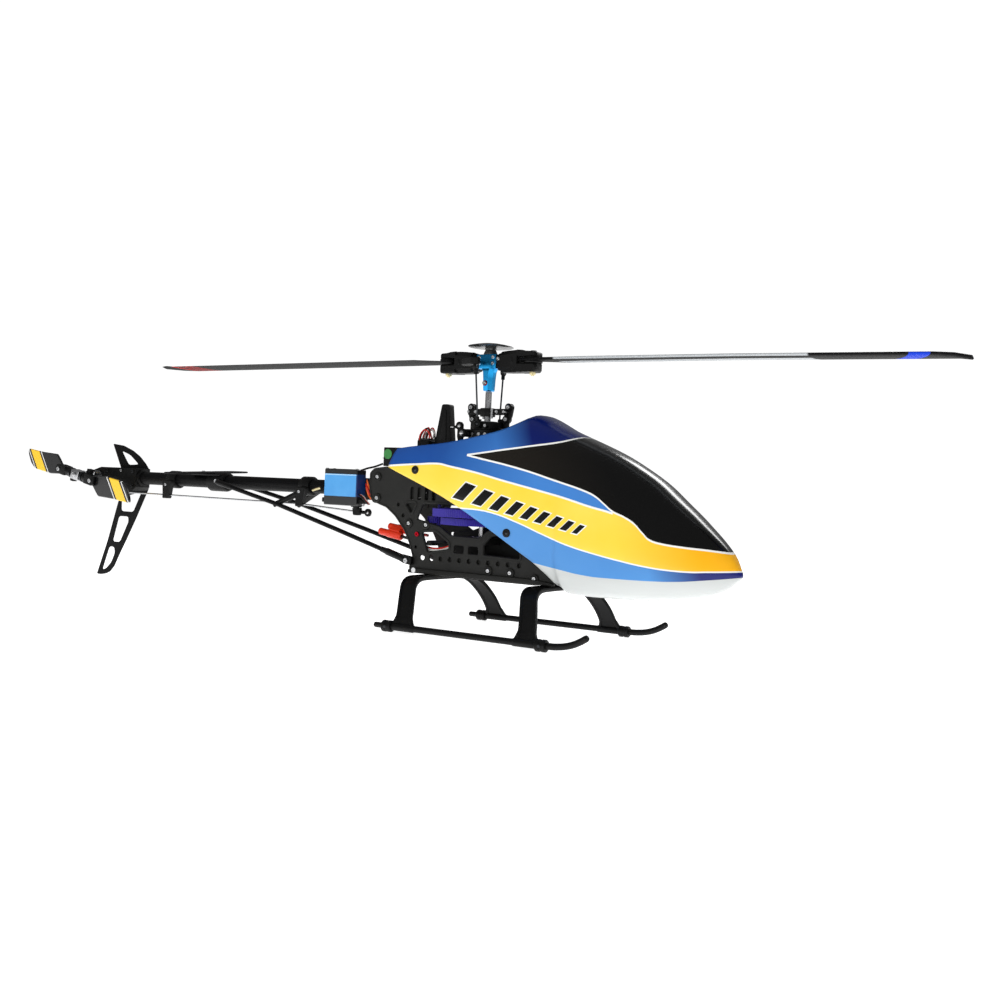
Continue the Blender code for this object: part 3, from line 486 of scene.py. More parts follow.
def tube(points, radius, count=10):
    """Round bar through the points, closed at both ends; radius is one number or one per point."""
    radii = radius if isinstance(radius, list) else [radius] * len(points)
    route = [Vector(p) for p in points]
    side = None
    rings = []
    for k, here in enumerate(route):
        ahead = (route[min(k + 1, len(route) - 1)] - route[max(k - 1, 0)]).normalized()
        side = ahead.orthogonal() if side is None else side - ahead * side.dot(ahead)
        side.normalize()
        up = ahead.cross(side)
        rings.append([here + (side * math.cos(math.tau * j / count) + up * math.sin(math.tau * j / count))
                      * radii[k] for j in range(count)])
    return loft(rings)


def loft(rings):
    """Skin through rings of equal count, closed at both ends."""
    bm = bmesh.new()
    made = [[bm.verts.new(point) for point in ring] for ring in rings]
    for lower, upper in zip(made, made[1:]):
        for j in range(len(lower)):
            n = (j + 1) % len(lower)
            bm.faces.new((lower[j], lower[n], upper[n], upper[j]))
    bm.faces.new(made[0])
    bm.faces.new(made[-1])
    return bm


def eased(bm, width, angle=35.0, segments=2):
    """Bevel every edge that is sharper than the angle."""
    bmesh.ops.remove_doubles(bm, verts=bm.verts, dist=0.002)
    bmesh.ops.dissolve_limit(bm, angle_limit=math.radians(0.5), verts=bm.verts, edges=bm.edges)
    bmesh.ops.recalc_face_normals(bm, faces=bm.faces)
    sharp = [e for e in bm.edges if len(e.link_faces) == 2 and e.calc_face_angle(0) > math.radians(angle)]
    bmesh.ops.bevel(bm, geom=sharp, offset=width, offset_type="OFFSET", segments=segments, profile=0.6,
                    affect="EDGES", clamp_overlap=True)
    return bm


def together(*parts):
    """One bmesh from (bmesh, material number) pairs."""
    bm = bmesh.new()
    for part, number in parts:
        bmesh.ops.recalc_face_normals(part, faces=part.faces)
        for face in part.faces:
            face.material_index = number
        mesh = bpy.data.meshes.new("part")
        part.to_mesh(mesh)
        part.free()
        bm.from_mesh(mesh)
        bpy.data.meshes.remove(mesh)
    return bm


def piece(name, bm, surfaces, body, stands_for=(), smooth=38.0, turn=True):
    """Make an object of a bmesh in millimetres, give it materials and let it ride on a body."""
    if turn:
        bmesh.ops.recalc_face_normals(bm, faces=bm.faces)
    for vert in bm.verts:
        vert.co = Vector((vert.co.x + SHAFT_X, vert.co.y, vert.co.z)) * MM
    mesh = bpy.data.meshes.new(name)
    bm.to_mesh(mesh)
    bm.free()
    mesh.shade_smooth()
    mesh.set_sharp_from_angle(angle=math.radians(smooth))
    for surface in surfaces if isinstance(surfaces, (list, tuple)) else [surfaces]:
        mesh.materials.append(surface)
    made = bpy.data.objects.new(name, mesh)
    bpy.context.scene.collection.objects.link(made)
    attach(made, body)
    if stands_for:
        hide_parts(*stands_for)
        for node in stands_for:
            NODES[node].data.materials.clear()
            NODES[node].data.materials.append(mesh.materials[0])
    return made


def body_of(node):
    return next(body for body, members in frame["record"]["behaviour"]["bodies"].items() if node in members)


def copied(node):
    """The CAD node's mesh as a bmesh in millimetres from the main shaft."""
    bm = bmesh.new()
    bm.from_mesh(NODES[node].data)
    for vert in bm.verts:
        vert.co = Vector((vert.co.x / MM - SHAFT_X, vert.co.y / MM, vert.co.z / MM))
    return bm


def refined(node, surface, width=0.35, angle=35.0):
    """Stand in for a CAD node with the same shape, its edges rounded."""
    bm = eased(copied(node), width, angle)
    return piece(node + "_form", bm, surface, body_of(node), [node])


def screw(at, direction, radius=1.7, height=1.5):
    """Cap screw head with a hexagon socket."""
    profile = ((0, 0), (0, radius), (height * 0.8, radius), (height, radius * 0.86),
               (height, radius * 0.52), (height * 0.3, radius * 0.52), (height * 0.3, 0))
    return lathe(profile, at, direction, 24, hexagon=(4, 5))


def washer(at, direction, radius=2.6, height=0.5):
    profile = ((0, 0), (0, radius), (height, radius), (height, 0))
    return lathe(profile, at, direction, 20)


def nut(at, direction, radius=2.6, height=2.2):
    profile = ((0, 0), (0, radius), (height * 0.85, radius), (height, radius * 0.85), (height, radius * 0.5),
               (height * 1.5, radius * 0.42), (height * 1.5, 0))
    return lathe(profile, at, direction, 24, hexagon=(1, 2))


def ball(at, radius=1.8, count=14):
    profile = [(-radius * math.cos(math.pi * k / 8), radius * math.sin(math.pi * k / 8)) for k in range(9)]
    profile[0], profile[-1] = (-radius, 0), (radius, 0)
    return lathe(profile, at, (0, 0, 1), count)


def eye(at, direction, outer=3.0, inner=1.7, thick=2.6):
    """Ring of a ball link."""
    half = thick / 2
    profile = ((-half, inner), (-half, outer * 0.85), (-half * 0.6, outer), (half * 0.6, outer),
               (half, outer * 0.85), (half, inner))
    return lathe(profile, at, direction, 20)


def link(start, end, radius=0.75, directions=((0, 1, 0), (0, 1, 0)), shank=6.0):
    """Ball link: rod, two plastic ends and two balls. Returns (bmesh, material number) pairs."""
    a, b = Vector(start), Vector(end)
    along = (b - a).normalized()
    parts = [(tube([a + along * 2, b - along * 2], radius, 8), 1)]
    for spot, way, direction in ((a, along, directions[0]), (b, -along, directions[1])):
        parts.append((tube([spot + way * 2.2, spot + way * (2.2 + shank)], 1.5, 10), 0))
        parts.append((eye(spot, direction), 0))
        parts.append((ball(spot), 1))
    return parts


def grown(outline, distance):
    """Closed outline moved outwards by a distance, or inwards if it is negative."""
    points = [Vector(p) for p in outline]
    pairs = list(zip(points, points[1:] + points[:1]))
    turn = 1 if sum(a.x * b.y - b.x * a.y for a, b in pairs) > 0 else -1
    normals = [turn * Vector(((b - a).y, -(b - a).x)).normalized() for a, b in pairs]
    made = []
    for k, point in enumerate(points):
        before, after = normals[k - 1], normals[k]
        made.append(tuple(point + (before + after) * distance / max(1 + before.dot(after), 0.4)))
    return made


def plate(axis, outline, low, high, holes=(), ease=0.3):
    """Flat plate with holes whose edges are cut at a slant on both faces."""
    from mathutils.geometry import tessellate_polygon
    full = [list(outline)] + [list(hole) for hole in holes]
    small = [grown(outline, -ease)] + [grown(hole, ease) for hole in holes]
    bm = bmesh.new()
    layers = []
    for loops, level in ((small, low), (full, low + ease), (full, high - ease), (small, high)):
        layers.append([[bm.verts.new(place(axis, u, v, level)) for u, v in loop] for loop in loops])
    for lower, upper in zip(layers, layers[1:]):
        for one, two in zip(lower, upper):
            for k in range(len(one)):
                n = (k + 1) % len(one)
                bm.faces.new((one[k], one[n], two[n], two[k]))
    triangles = tessellate_polygon([[Vector((u, v, 0)) for u, v in loop] for loop in small])
    for layer in (layers[0], layers[-1]):
        flat = [vert for loop in layer for vert in loop]
        for tri in triangles:
            bm.faces.new([flat[k] for k in tri])
    return bm


def bar(axis, sections, corner=0.3):
    """Bar along an axis through (place, half width, lowest, highest) sections with cut corners."""
    rings = []
    for w, half, low, high in sections:
        c = min(half, (high - low) / 2) * corner
        points = ((half, low + c), (half, high - c), (half - c, high), (c - half, high), (-half, high - c),
                  (-half, low + c), (c - half, low), (half - c, low))
        rings.append([Vector((w, u, v) if axis == "X" else (u, w, v)) for u, v in points])
    return loft(rings)


# ---------------------------------------------------------------- studio

def at(x, y, z):
    return Vector((x + SHAFT_X, y, z)) * MM


WORLD_LIGHT = 0.2            # light of the white surroundings on the pieces
FLOOR_GLOW = 0.84            # keeps the white floor as bright as the surroundings


def area_light(name, spot, target, width, height, power, shows_in_gloss=False):
    data = bpy.data.lights.new(name, "AREA")
    data.shape = "RECTANGLE"
    data.size, data.size_y = width, height
    data.energy = power
    made = bpy.data.objects.new(name, data)
    bpy.context.scene.collection.objects.link(made)
    made.location = at(*spot)
    made.rotation_euler = (at(*target) - made.location).to_track_quat("-Z", "Y").to_euler()
    made.visible_glossy = shows_in_gloss


def build_studio():
    scene = bpy.context.scene
    scene.view_settings.view_transform = "Standard"
    world = bpy.data.worlds.new("studio")
    world.use_nodes = True
    scene.world = world
    tree = world.node_tree
    back = tree.nodes["Background"]
    back.inputs["Color"].default_value = (1, 1, 1, 1)
    path = tree.nodes.new("ShaderNodeLightPath")
    seen = Number(tree, path.outputs["Is Camera Ray"])
    connect(tree, seen * 0.85 + WORLD_LIGHT, back.inputs["Strength"])
    surface, tree, shader = new_shader("floor_white", "f7f7f7", roughness=0.9, specular=0.0)
    tree.links.new(mixed(tree, noise(tree, 3), "f4f4f4", "fbfbfb"), shader.inputs["Base Color"])
    shader.inputs["Emission Color"].default_value = (1, 1, 1, 1)
    shader.inputs["Emission Strength"].default_value = FLOOR_GLOW
    bm = bmesh.new()
    bmesh.ops.create_circle(bm, cap_ends=True, radius=30.0, segments=64)
    mesh = bpy.data.meshes.new("floor")
    bm.to_mesh(mesh)
    bm.free()
    mesh.materials.append(surface)
    floor = bpy.data.objects.new("floor", mesh)
    scene.collection.objects.link(floor)
    area_light("key", (-200, -1500, 900), (40, 0, 110), 1.3, 0.9, 11.5)
    area_light("fill", (1300, -900, 300), (40, 0, 110), 1.0, 1.0, 1.2)
    area_light("top", (0, 200, 1900), (0, 0, 100), 2.4, 1.6, 12.0)
    area_light("gloss", (245, 1220, 970), (150, 0, 110), 0.8, 0.3, 6.0, True)


CAMERA_SPOT = (486.11, -748.03, 106.8)
CAMERA_AZ, CAMERA_EL, CAMERA_ROLL = 32.35, 0.29, 2.76     # degrees
CAMERA_LENS = 41.276


def build_camera():
    data = bpy.data.cameras.new("camera")
    data.lens = CAMERA_LENS
    made = bpy.data.objects.new("camera", data)
    bpy.context.scene.collection.objects.link(made)
    az, el, roll = (math.radians(v) for v in (CAMERA_AZ, CAMERA_EL, CAMERA_ROLL))
    back = Vector((math.sin(az) * math.cos(el), -math.cos(az) * math.cos(el), math.sin(el)))
    level = (-back).cross(Vector((0, 0, 1))).normalized()
    upright = level.cross(-back)
    right = level * math.cos(roll) + upright * math.sin(roll)
    up = upright * math.cos(roll) - level * math.sin(roll)
    turn = Matrix((right, up, back)).transposed().to_4x4()
    made.matrix_world = Matrix.Translation(at(*CAMERA_SPOT)) @ turn
    bpy.context.scene.camera = made


# ---------------------------------------------------------------- canopy

CANOPY_TOP = ((-66, 150), (-20, 158), (20, 165), (52, 167.5), (60, 165), (76, 157), (102, 146.8),
              (119, 139.6), (135, 131.2), (152, 120.8), (168, 107.8), (184, 94.4), (205, 74), (213, 60))
CANOPY_BELLY = ((-66, 60), (20, 42), (66, 37.6), (91, 35.8), (124, 35.8), (156, 37.2), (186, 42),
                (201, 47.6), (213, 58))
CANOPY_HALF = ((-66, 37), (-20, 40), (10, 41.8), (45, 41), (90, 38), (120, 35), (150, 30.5), (175, 24),
               (195, 16), (207, 8.5), (213, 1.2))
CANOPY_RIM = ((-66, 139), (-36, 142), (-17, 144), (0, 147), (18, 151), (33, 155.5), (45, 162), (52, 168))
CANOPY_SKIRT = ((-66.5, 124), (1.9, 97), (65.3, 60.5), (78, 50), (83, 44), (85.5, 42), (87, 35))
CANOPY_MIDDLE = ((-66, 122), (-20, 112), (40, 92), (90, 76), (130, 66), (175, 60), (213, 59))
CANOPY_SHELL = 1.0
CANOPY_FULLNESS = 0.65
REAR_CUT = 4.5                # the top of the rear edge lies this far ahead of its foot
GROMMETS = ((-38.8, 122.4), (47.3, 78.9))


def knots(table, x):
    """Height of a smooth curve through the table's knots, with slopes from their neighbours."""
    if x <= table[0][0]:
        return table[0][1]
    if x >= table[-1][0]:
        return table[-1][1]
    i = max(k for k in range(len(table) - 1) if table[k][0] <= x)

    def slope(k):
        a, b = table[max(k - 1, 0)], table[min(k + 1, len(table) - 1)]
        return (b[1] - a[1]) / (b[0] - a[0])

    (x0, y0), (x1, y1) = table[i], table[i + 1]
    span = x1 - x0
    t = (x - x0) / span
    value = y0 * (1 + 2 * t) * (1 - t) ** 2 + slope(i) * span * t * (1 - t) ** 2
    return value + y1 * t * t * (3 - 2 * t) + slope(i + 1) * span * t * t * (t - 1)


def canopy_half_width(x, z):
    """Distance of the canopy's skin from the middle plane at a side-view point."""
    top, belly, half, middle = (knots(table, x) for table in
                                (CANOPY_TOP, CANOPY_BELLY, CANOPY_HALF, CANOPY_MIDDLE))
    rise = (z - middle) / ((top - middle) if z > middle else (middle - belly))
    return half * max(1 - rise * rise, 0.0) ** (CANOPY_FULLNESS / 2)


def build_canopy():
    """The canopy's skin in fine steps, turned into a shell, with its grommets."""
    stations = [-66.5 + 3.0 * k for k in range(40)] + [52, 87]
    stations += [52 + 2.5 * k for k in range(1, 60)] + [202.5, 205, 207, 208.6, 210, 211.2, 212.2, 213]
    stations = sorted({round(x, 3) for x in stations if x <= 213})
    stations = [x for k, x in enumerate(stations) if k == 0 or x - stations[k - 1] > 0.7 or x in (52, 87,
            213)]
    steps = 28
    bm = bmesh.new()
    for sign in (1, -1):
        rows = []
        for x in stations:
            top, belly, half, middle = (knots(table, x) for table in
                                        (CANOPY_TOP, CANOPY_BELLY, CANOPY_HALF, CANOPY_MIDDLE))
            rim = min(knots(CANOPY_RIM, x), top) if x < 52 else top
            skirt = max(knots(CANOPY_SKIRT, x), belly) if x < 87 else belly
            high = math.asin(max(-1.0, min(1.0, (rim - middle) / (top - middle))))
            reach = (skirt - middle) / ((top - middle) if skirt > middle else (middle - belly))
            low = math.asin(max(-1.0, min(1.0, reach)))
            row = []
            for k in range(steps + 1):
                angle = high + (low - high) * k / steps
                height = (top - middle) if angle > 0 else (middle - belly)
                y = half * max(math.cos(angle), 0.0) ** CANOPY_FULLNESS
                y = 0.0 if y < 0.05 else y
                z = middle + height * math.sin(angle)
                cut = REAR_CUT * min(max((z - 124) / 15, 0.0), 1.0) * min(max((-50 - x) / 16, 0.0), 1.0)
                row.append(bm.verts.new((x + cut, sign * y, z)))
            rows.append(row)
        for a, b in zip(rows, rows[1:]):
            for k in range(steps):
                bm.faces.new((a[k], b[k], b[k + 1], a[k + 1]))
    bmesh.ops.remove_doubles(bm, verts=bm.verts, dist=0.02)
    tip_x, tip_z = CANOPY_MIDDLE[-1]
    nose = [v for v in bm.verts if v.co.x > tip_x - 0.1]
    bmesh.ops.pointmerge(bm, verts=nose, merge_co=(tip_x, 0, tip_z))
    bmesh.ops.recalc_face_normals(bm, faces=bm.faces)
    widest = max(bm.faces, key=lambda face: face.calc_center_median().y)
    if widest.normal.y < 0:
        bmesh.ops.reverse_faces(bm, faces=bm.faces)
    shell = piece("canopy_form", bm, [CANOPY_PAINT, SHELL_INSIDE], "canopy", ["canopy"],
                  smooth=60.0, turn=False)
    thick = shell.modifiers.new("shell", "SOLIDIFY")
    thick.thickness = CANOPY_SHELL * MM
    thick.offset = -1.0
    thick.use_even_offset = True
    thick.material_offset = 1
    thick.material_offset_rim = 1
    parts = []
    for sign in (1, -1):
        for x, z in GROMMETS:
            y = canopy_half_width(x, z)
            ring = ((-1.6, 1.5), (-1.6, 3.4), (-0.9, 3.4), (-0.9, 2.2), (0.2, 2.2), (0.2, 3.2), (0.7, 3.1),
                    (1.1, 2.4), (1.1, 1.5))
            parts.append((lathe(ring, (x, sign * y, z), (0, sign, 0), 24), 0))
            plug = ((-1.2, 0), (-1.2, 1.6), (0.5, 1.6), (0.9, 1.0), (1.0, 0))
            parts.append((lathe(plug, (x, sign * y, z), (0, sign, 0), 20), 1))
    piece("canopy_grommets", together(*parts), [RUBBER, DARK_METAL], "canopy")


# ---------------------------------------------------------------- frame

GEAR_WINDOW = ((-48.5, 84.4), (-43.5, 96.4), (40, 96.4), (44, 84), (26, 79.4), (18.2, 79.2),
               (10.5, 72.9), (-15.4, 73.4), (-25.5, 79.7))
REAR_WINDOW = ((-42.8, 74.2), (-30, 75), (-17.6, 67.1), (-17.4, 62.7), (-36.9, 59.2))
FRONT_WINDOW = ((15.1, 68.2), (21.9, 75), (30.1, 75.5), (46.7, 67), (47.1, 59.6), (15.6, 60.5))
TRIANGLE = ((-60.3, 96), (-50.5, 96.6), (-54.5, 88.7))
PLATE_EDGE = ((-81.8, 124.7), (-93.6, 123.2), (-97.9, 119.5), (-98, 108), (-96, 98.5), (-89.1, 94.7),
              (-79.9, 92), (-70.5, 85.3), (-61, 74.7), (-55.4, 64.9), (-51.5, 54.5), (-54.4, 47),
              (-53.7, 41.7), (71.7, 41.7), (77.6, 41.7), (77.6, 45), (70, 80), (66, 112), (60, 120),
              (-20, 124.7))
SMALL_HOLES = [(x, 54.6, 1.8) for x in (-24.4, -15.6, -6.8, 2, 10.8, 19.6, 28.4, 37.2, 47)]
SMALL_HOLES += [(-42, 54.6, 2.3), (-33.2, 54.6, 2.3), (-67.6, 94.9, 1.5), (-62.5, 86.5, 1.5),
                (-48.6, 62.4, 1.2)]
PLATE_SCREWS = ((-89.4, 116.3), (-89.1, 99.3), (-56, 80.6), (-39.2, 80.2), (20.3, 48.7), (39.8, 48.5),
                (60.8, 45.9))


def build_frame():
    holes = [softened(window, 1.6) for window in (GEAR_WINDOW, REAR_WINDOW, FRONT_WINDOW, TRIANGLE)]
    holes += [softened(((x, 60), (x + 9.3, 60), (x + 9.3, 66), (x, 66)), 1.6) for x in (-12.4, 0.8)]
    holes += [softened(((x - 1.7, 99.4), (x + 1.7, 99.4), (x + 1.7, 109.6), (x - 1.7, 109.6)), 1.6)
              for x in (-54.5, -47.5, -40.5, -33.5)]
    holes += [circle(x, z, radius, 20) for x, z, radius in SMALL_HOLES]
    holes += [circle(-22, 114, 3.4, 24), circle(-38.8, 120, 2.3, 20), circle(47.3, 78.4, 2.3, 20)]
    for side, sign in (("right", -1), ("left", 1)):
        ends = sorted((sign * (PLATE_OUT - 2), sign * PLATE_OUT))
        piece("frame_plate_%s_form" % side, plate("Y", softened(PLATE_EDGE, 1.5), *ends, holes, 0.35),
              FRAME_BLACK,
              "airframe", ["frame_plate_" + side])
        def slab(low, high):
            return sorted((sign * (PLATE_OUT + low), sign * (PLATE_OUT + high)))

        parts = []
        for window in (GEAR_WINDOW, REAR_WINDOW, FRONT_WINDOW, TRIANGLE):
            round_window = softened(window, 1.6)
            parts.append((plate("Y", grown(round_window, 2.0), *slab(-0.2, 0.6), [grown(round_window, 0.4)],
                                0.2), 0))
        round_edge = softened(PLATE_EDGE, 1.5)
        parts.append((plate("Y", grown(round_edge, -0.4), *slab(-0.2, 0.5), [grown(round_edge, -1.7)], 0.2),
                      0))
        flange = softened(((-53.4, 41.9), (77.2, 41.9), (77.2, 43.8), (56, 45.6), (-46, 45.6),
                           (-53.4, 44.6)), 0.6)
        parts.append((eased(prism("Y", flange, *slab(-0.2, 2.6)), 0.4), 0))
        inside = sorted((sign * (PLATE_OUT - 2.7), sign * (PLATE_OUT - 2.1)))
        parts.append((plate("Y", grown(softened(TRIANGLE, 1.6), 1.6), *inside, (), 0.2), 0))
        for x, z, radius in SMALL_HOLES[:9] + SMALL_HOLES[11:]:
            parts.append((plate("Y", circle(x, z, radius + 1.0, 16), *inside, (), 0.2), 0))
        for x, z in PLATE_SCREWS:
            boss = ((-0.2, 0), (-0.2, 3.7), (1.0, 3.5), (1.3, 3.1), (1.3, 2.4), (0.5, 2.2), (0.5, 0))
            parts.append((lathe(boss, (x, sign * PLATE_OUT, z), (0, sign, 0), 24), 0))
            parts.append((screw((x, sign * (PLATE_OUT + 0.4), z), (0, sign, 0), 1.5, 1.1), 1))
        parts.append((screw((-47.6, sign * PLATE_OUT, 72.5), (0, sign, 0), 1.9, 1.2), 2))
        parts.append((washer((-47.7, sign * (PLATE_OUT + 2.4), 44.2), (0, sign, 0), 2.0, 0.5), 1))
        piece("frame_trim_" + side, together(*parts), [FRAME_BLACK, SCREW, RED_ANODISED], "airframe")
    for node in ("upper_bearing_block", "lower_bearing_block", "bottom_tray"):
        refined(node, FRAME_BLACK, 0.4)
    refined("boom_mount", FRAME_BLACK, 0.8)
    refined("motor_mount", CARBON, 0.2)
    parts = []
    for x, z in ((-56, 80.6), (-38, 66), (56, 66), (57, 108)):
        parts.append((lathe(((-17.6, 0), (-17.6, 2.3), (17.6, 2.3), (17.6, 0)), (x, 0, z), (0, 1, 0), 6), 0))
    holes = [circle(x, 54.6, 2.2, 14) for x in (2, 19.6, 37.2)]
    web = ((-30, 47), (68, 47), (68, 80.4), (-4, 80.4), (-16, 76), (-30, 76))
    parts.append((eased(prism("Y", softened(web, 3), 4.0, 6.0), 0.3), 0))
    for sign in (1, -1):
        bracket = softened(((-65, 97.6), (-46.6, 101.8), (-46.6, 116.6), (-65, 116.6)), 2)
        parts.append((eased(prism("Y", bracket, *sorted((sign * 12, sign * 17.6))), 0.5), 0))
    for sign in (1, -1):
        bearing = ((-0.2, 2.9), (-0.2, 7.5), (0.6, 7.5), (0.6, 6.4), (0.3, 6.2), (0.3, 4.2), (0.6, 4.0),
                   (0.6, 2.9))
        spot = (0, 0, 124.4) if sign > 0 else (0, 0, 72.5)
        parts.append((lathe(bearing, spot, (0, 0, 1), 32), 1))
    piece("frame_spacers", together(*parts), [FRAME_BLACK, STEEL], "airframe")
    for name in ("canopy_post_rear", "canopy_post_front"):
        low, high = box_mm(name)
        x, z, reach = (low.x + high.x) / 2, (low.z + high.z) / 2, high.y
        groove = ((-reach, 0), (-reach, 1.5), (-reach + 0.5, 1.9), (-reach + 2, 1.9), (-reach + 2.3, 1.5),
                  (-reach + 3.4, 1.5), (-reach + 3.7, 1.9), (-22, 1.9), (-22, 2.6), (-20.4, 2.6),
                  (-20.4, 1.9),
                  (20.4, 1.9), (20.4, 2.6), (22, 2.6), (22, 1.9), (reach - 3.7, 1.9), (reach - 3.4, 1.5),
                  (reach - 2.3, 1.5), (reach - 2, 1.9), (reach - 0.5, 1.9), (reach, 1.5), (reach, 0))
        tips = together((lathe(groove, (x, 0, z), (0, 1, 0), 20), 0),
                        (ball((x, -reach + 0.6, z), 1.5), 1), (ball((x, reach - 0.6, z), 1.5), 1))
        piece(name + "_form", tips, [BLACK, SCREW], "airframe", [name])


PLUG_WAY = (1, 0, -0.15)


def build_electronics():
    refined("cyclic_servo_right", BLACK, 0.4)
    refined("cyclic_servo_left", BLACK, 0.4)
    refined("speed_controller", WRAP, 0.8)
    refined("receiver", BLACK, 0.5)
    refined("gyro_box", BLACK, 0.6)
    refined("battery_pack", WRAP, 1.2)
    low, high = box_mm("gyro_box")
    disc = ((0, 0), (0, 4.1), (0.25, 4.0), (0.3, 3.4), (0.2, 3.3), (0.2, 0))
    piece("green_disc", together((lathe(disc, (low.x + 4.9, low.y - 0.02, high.z - 5.4), (0, -1, 0), 32),
                                  0)),
          [GREEN], "airframe")
    seam = block((low.x - 0.15, low.y - 0.15, 131.4), (high.x + 0.15, high.y + 0.15, 131.9))
    piece("gyro_seam", seam, RUBBER, "airframe")
    parts = []
    for k, x in enumerate((-96, 116, 134)):
        if k == 0:
            continue
        strap = [(y, z) for y, z in softened(((-17.2, 48.2), (17.2, 48.2), (17.2, 73.8), (-17.2, 73.8)),
                                             3.4)]
        parts.append((prism("X", grown(strap, 0.5), x - 6, x + 6, [grown(strap, -0.1)]), 0))
    piece("battery_straps", together(*parts), [RUBBER], "airframe")
    wires = []
    for k, (y, number) in enumerate(((-4, 0), (-2.4, 1), (0.6, 0), (2.2, 2), (4.4, 1), (6, 0))):
        route = smooth_path([(-52.5 - k % 2 * 1.4, y, 146), (-52 - k % 3, y, 152.4 + k % 2 * 1.6),
                             (-56.4, y - 0.6, 155.6 + k % 3), (-60.2, y - 1.4, 151), (-60, y - 1.8, 146)], 7)
        wires.append((tube(route, 0.62, 8), number))
    wires.append((block((-61.4, -6, 145.6), (-51, 8, 148.6)), 1))
    piece("receiver_wires", together(*wires), [WIRE_RED, WIRE_BLACK, WIRE_WHITE], "airframe")
    wires = []
    for y, z, number in ((-13.6, 64.2, 0), (-14.6, 62.9, 2), (-12.4, 61.6, 1)):
        route = smooth_path([(-44, y, z - 0.8), (-36, y - 1.2, z - 2.2), (-27, y - 1.0, z - 1.6),
                             (-19.6, y, z + 0.8)], 8)
        wires.append((tube(route, 0.8, 8), number))
    piece("inner_wires", together(*wires), [WIRE_RED, WIRE_BLACK, WIRE_WHITE], "airframe")
    parts = []
    for start, number in (((-94.6, -7.6, 72.4), 1), ((-89.6, -1.6, 76.6), 2)):
        cup = ((0, 0), (0, 2.2), (0.7, 2.8), (8, 2.9), (9, 3.3), (22, 3.3), (23, 2.6), (23, 0))
        parts.append((lathe(cup, start, PLUG_WAY, 24), 0))
        spot = Vector(start) + Vector(PLUG_WAY).normalized() * 22.6
        route = smooth_path([spot, spot + Vector((6, 0, -0.9)), spot + Vector((12, -0.8, -1.6)),
                             spot + Vector((18, -1.6, -2))], 6)
        parts.append((tube(route, 1.2, 10), number))
    rib = [(-84, -6, 73.6), (-74, -6, 72.1)]
    parts.append((tube(rib, 3.4, 6), 0))
    piece("battery_plug_form", together(*parts), [RED, WIRE_BLACK, WIRE_RED], "airframe", ["battery_plug"])
    wires = []
    for k, (y, z) in enumerate(((-15.6, 110), (-16.4, 107), (-15.8, 104))):
        route = smooth_path([(-104, y, z + 3), (-100.5, y - 3.4, z + 1), (-98.6, y - 2.6, z - 4),
                             (-96.4, y, z - 7)], 8)
        wires.append((tube(route, 0.75, 8), k % 2))
    piece("mount_wires", together(*wires), [WIRE_ORANGE, WIRE_RED], "airframe")


# ---------------------------------------------------------------- landing gear

RAIL_Y, RAIL_Z, RAIL_R = 64.6, 4.4, 2.4
COLLAR_X = (-38.0, 95.0)
STRUT_X = (-24.3, 82.3)
STRUT_TOP_Z, STRUT_RAKE, STRUT_FLARE = 41.0, 13.0, 4.6
STRUT_W, STRUT_THICK = 14.0, 3.2


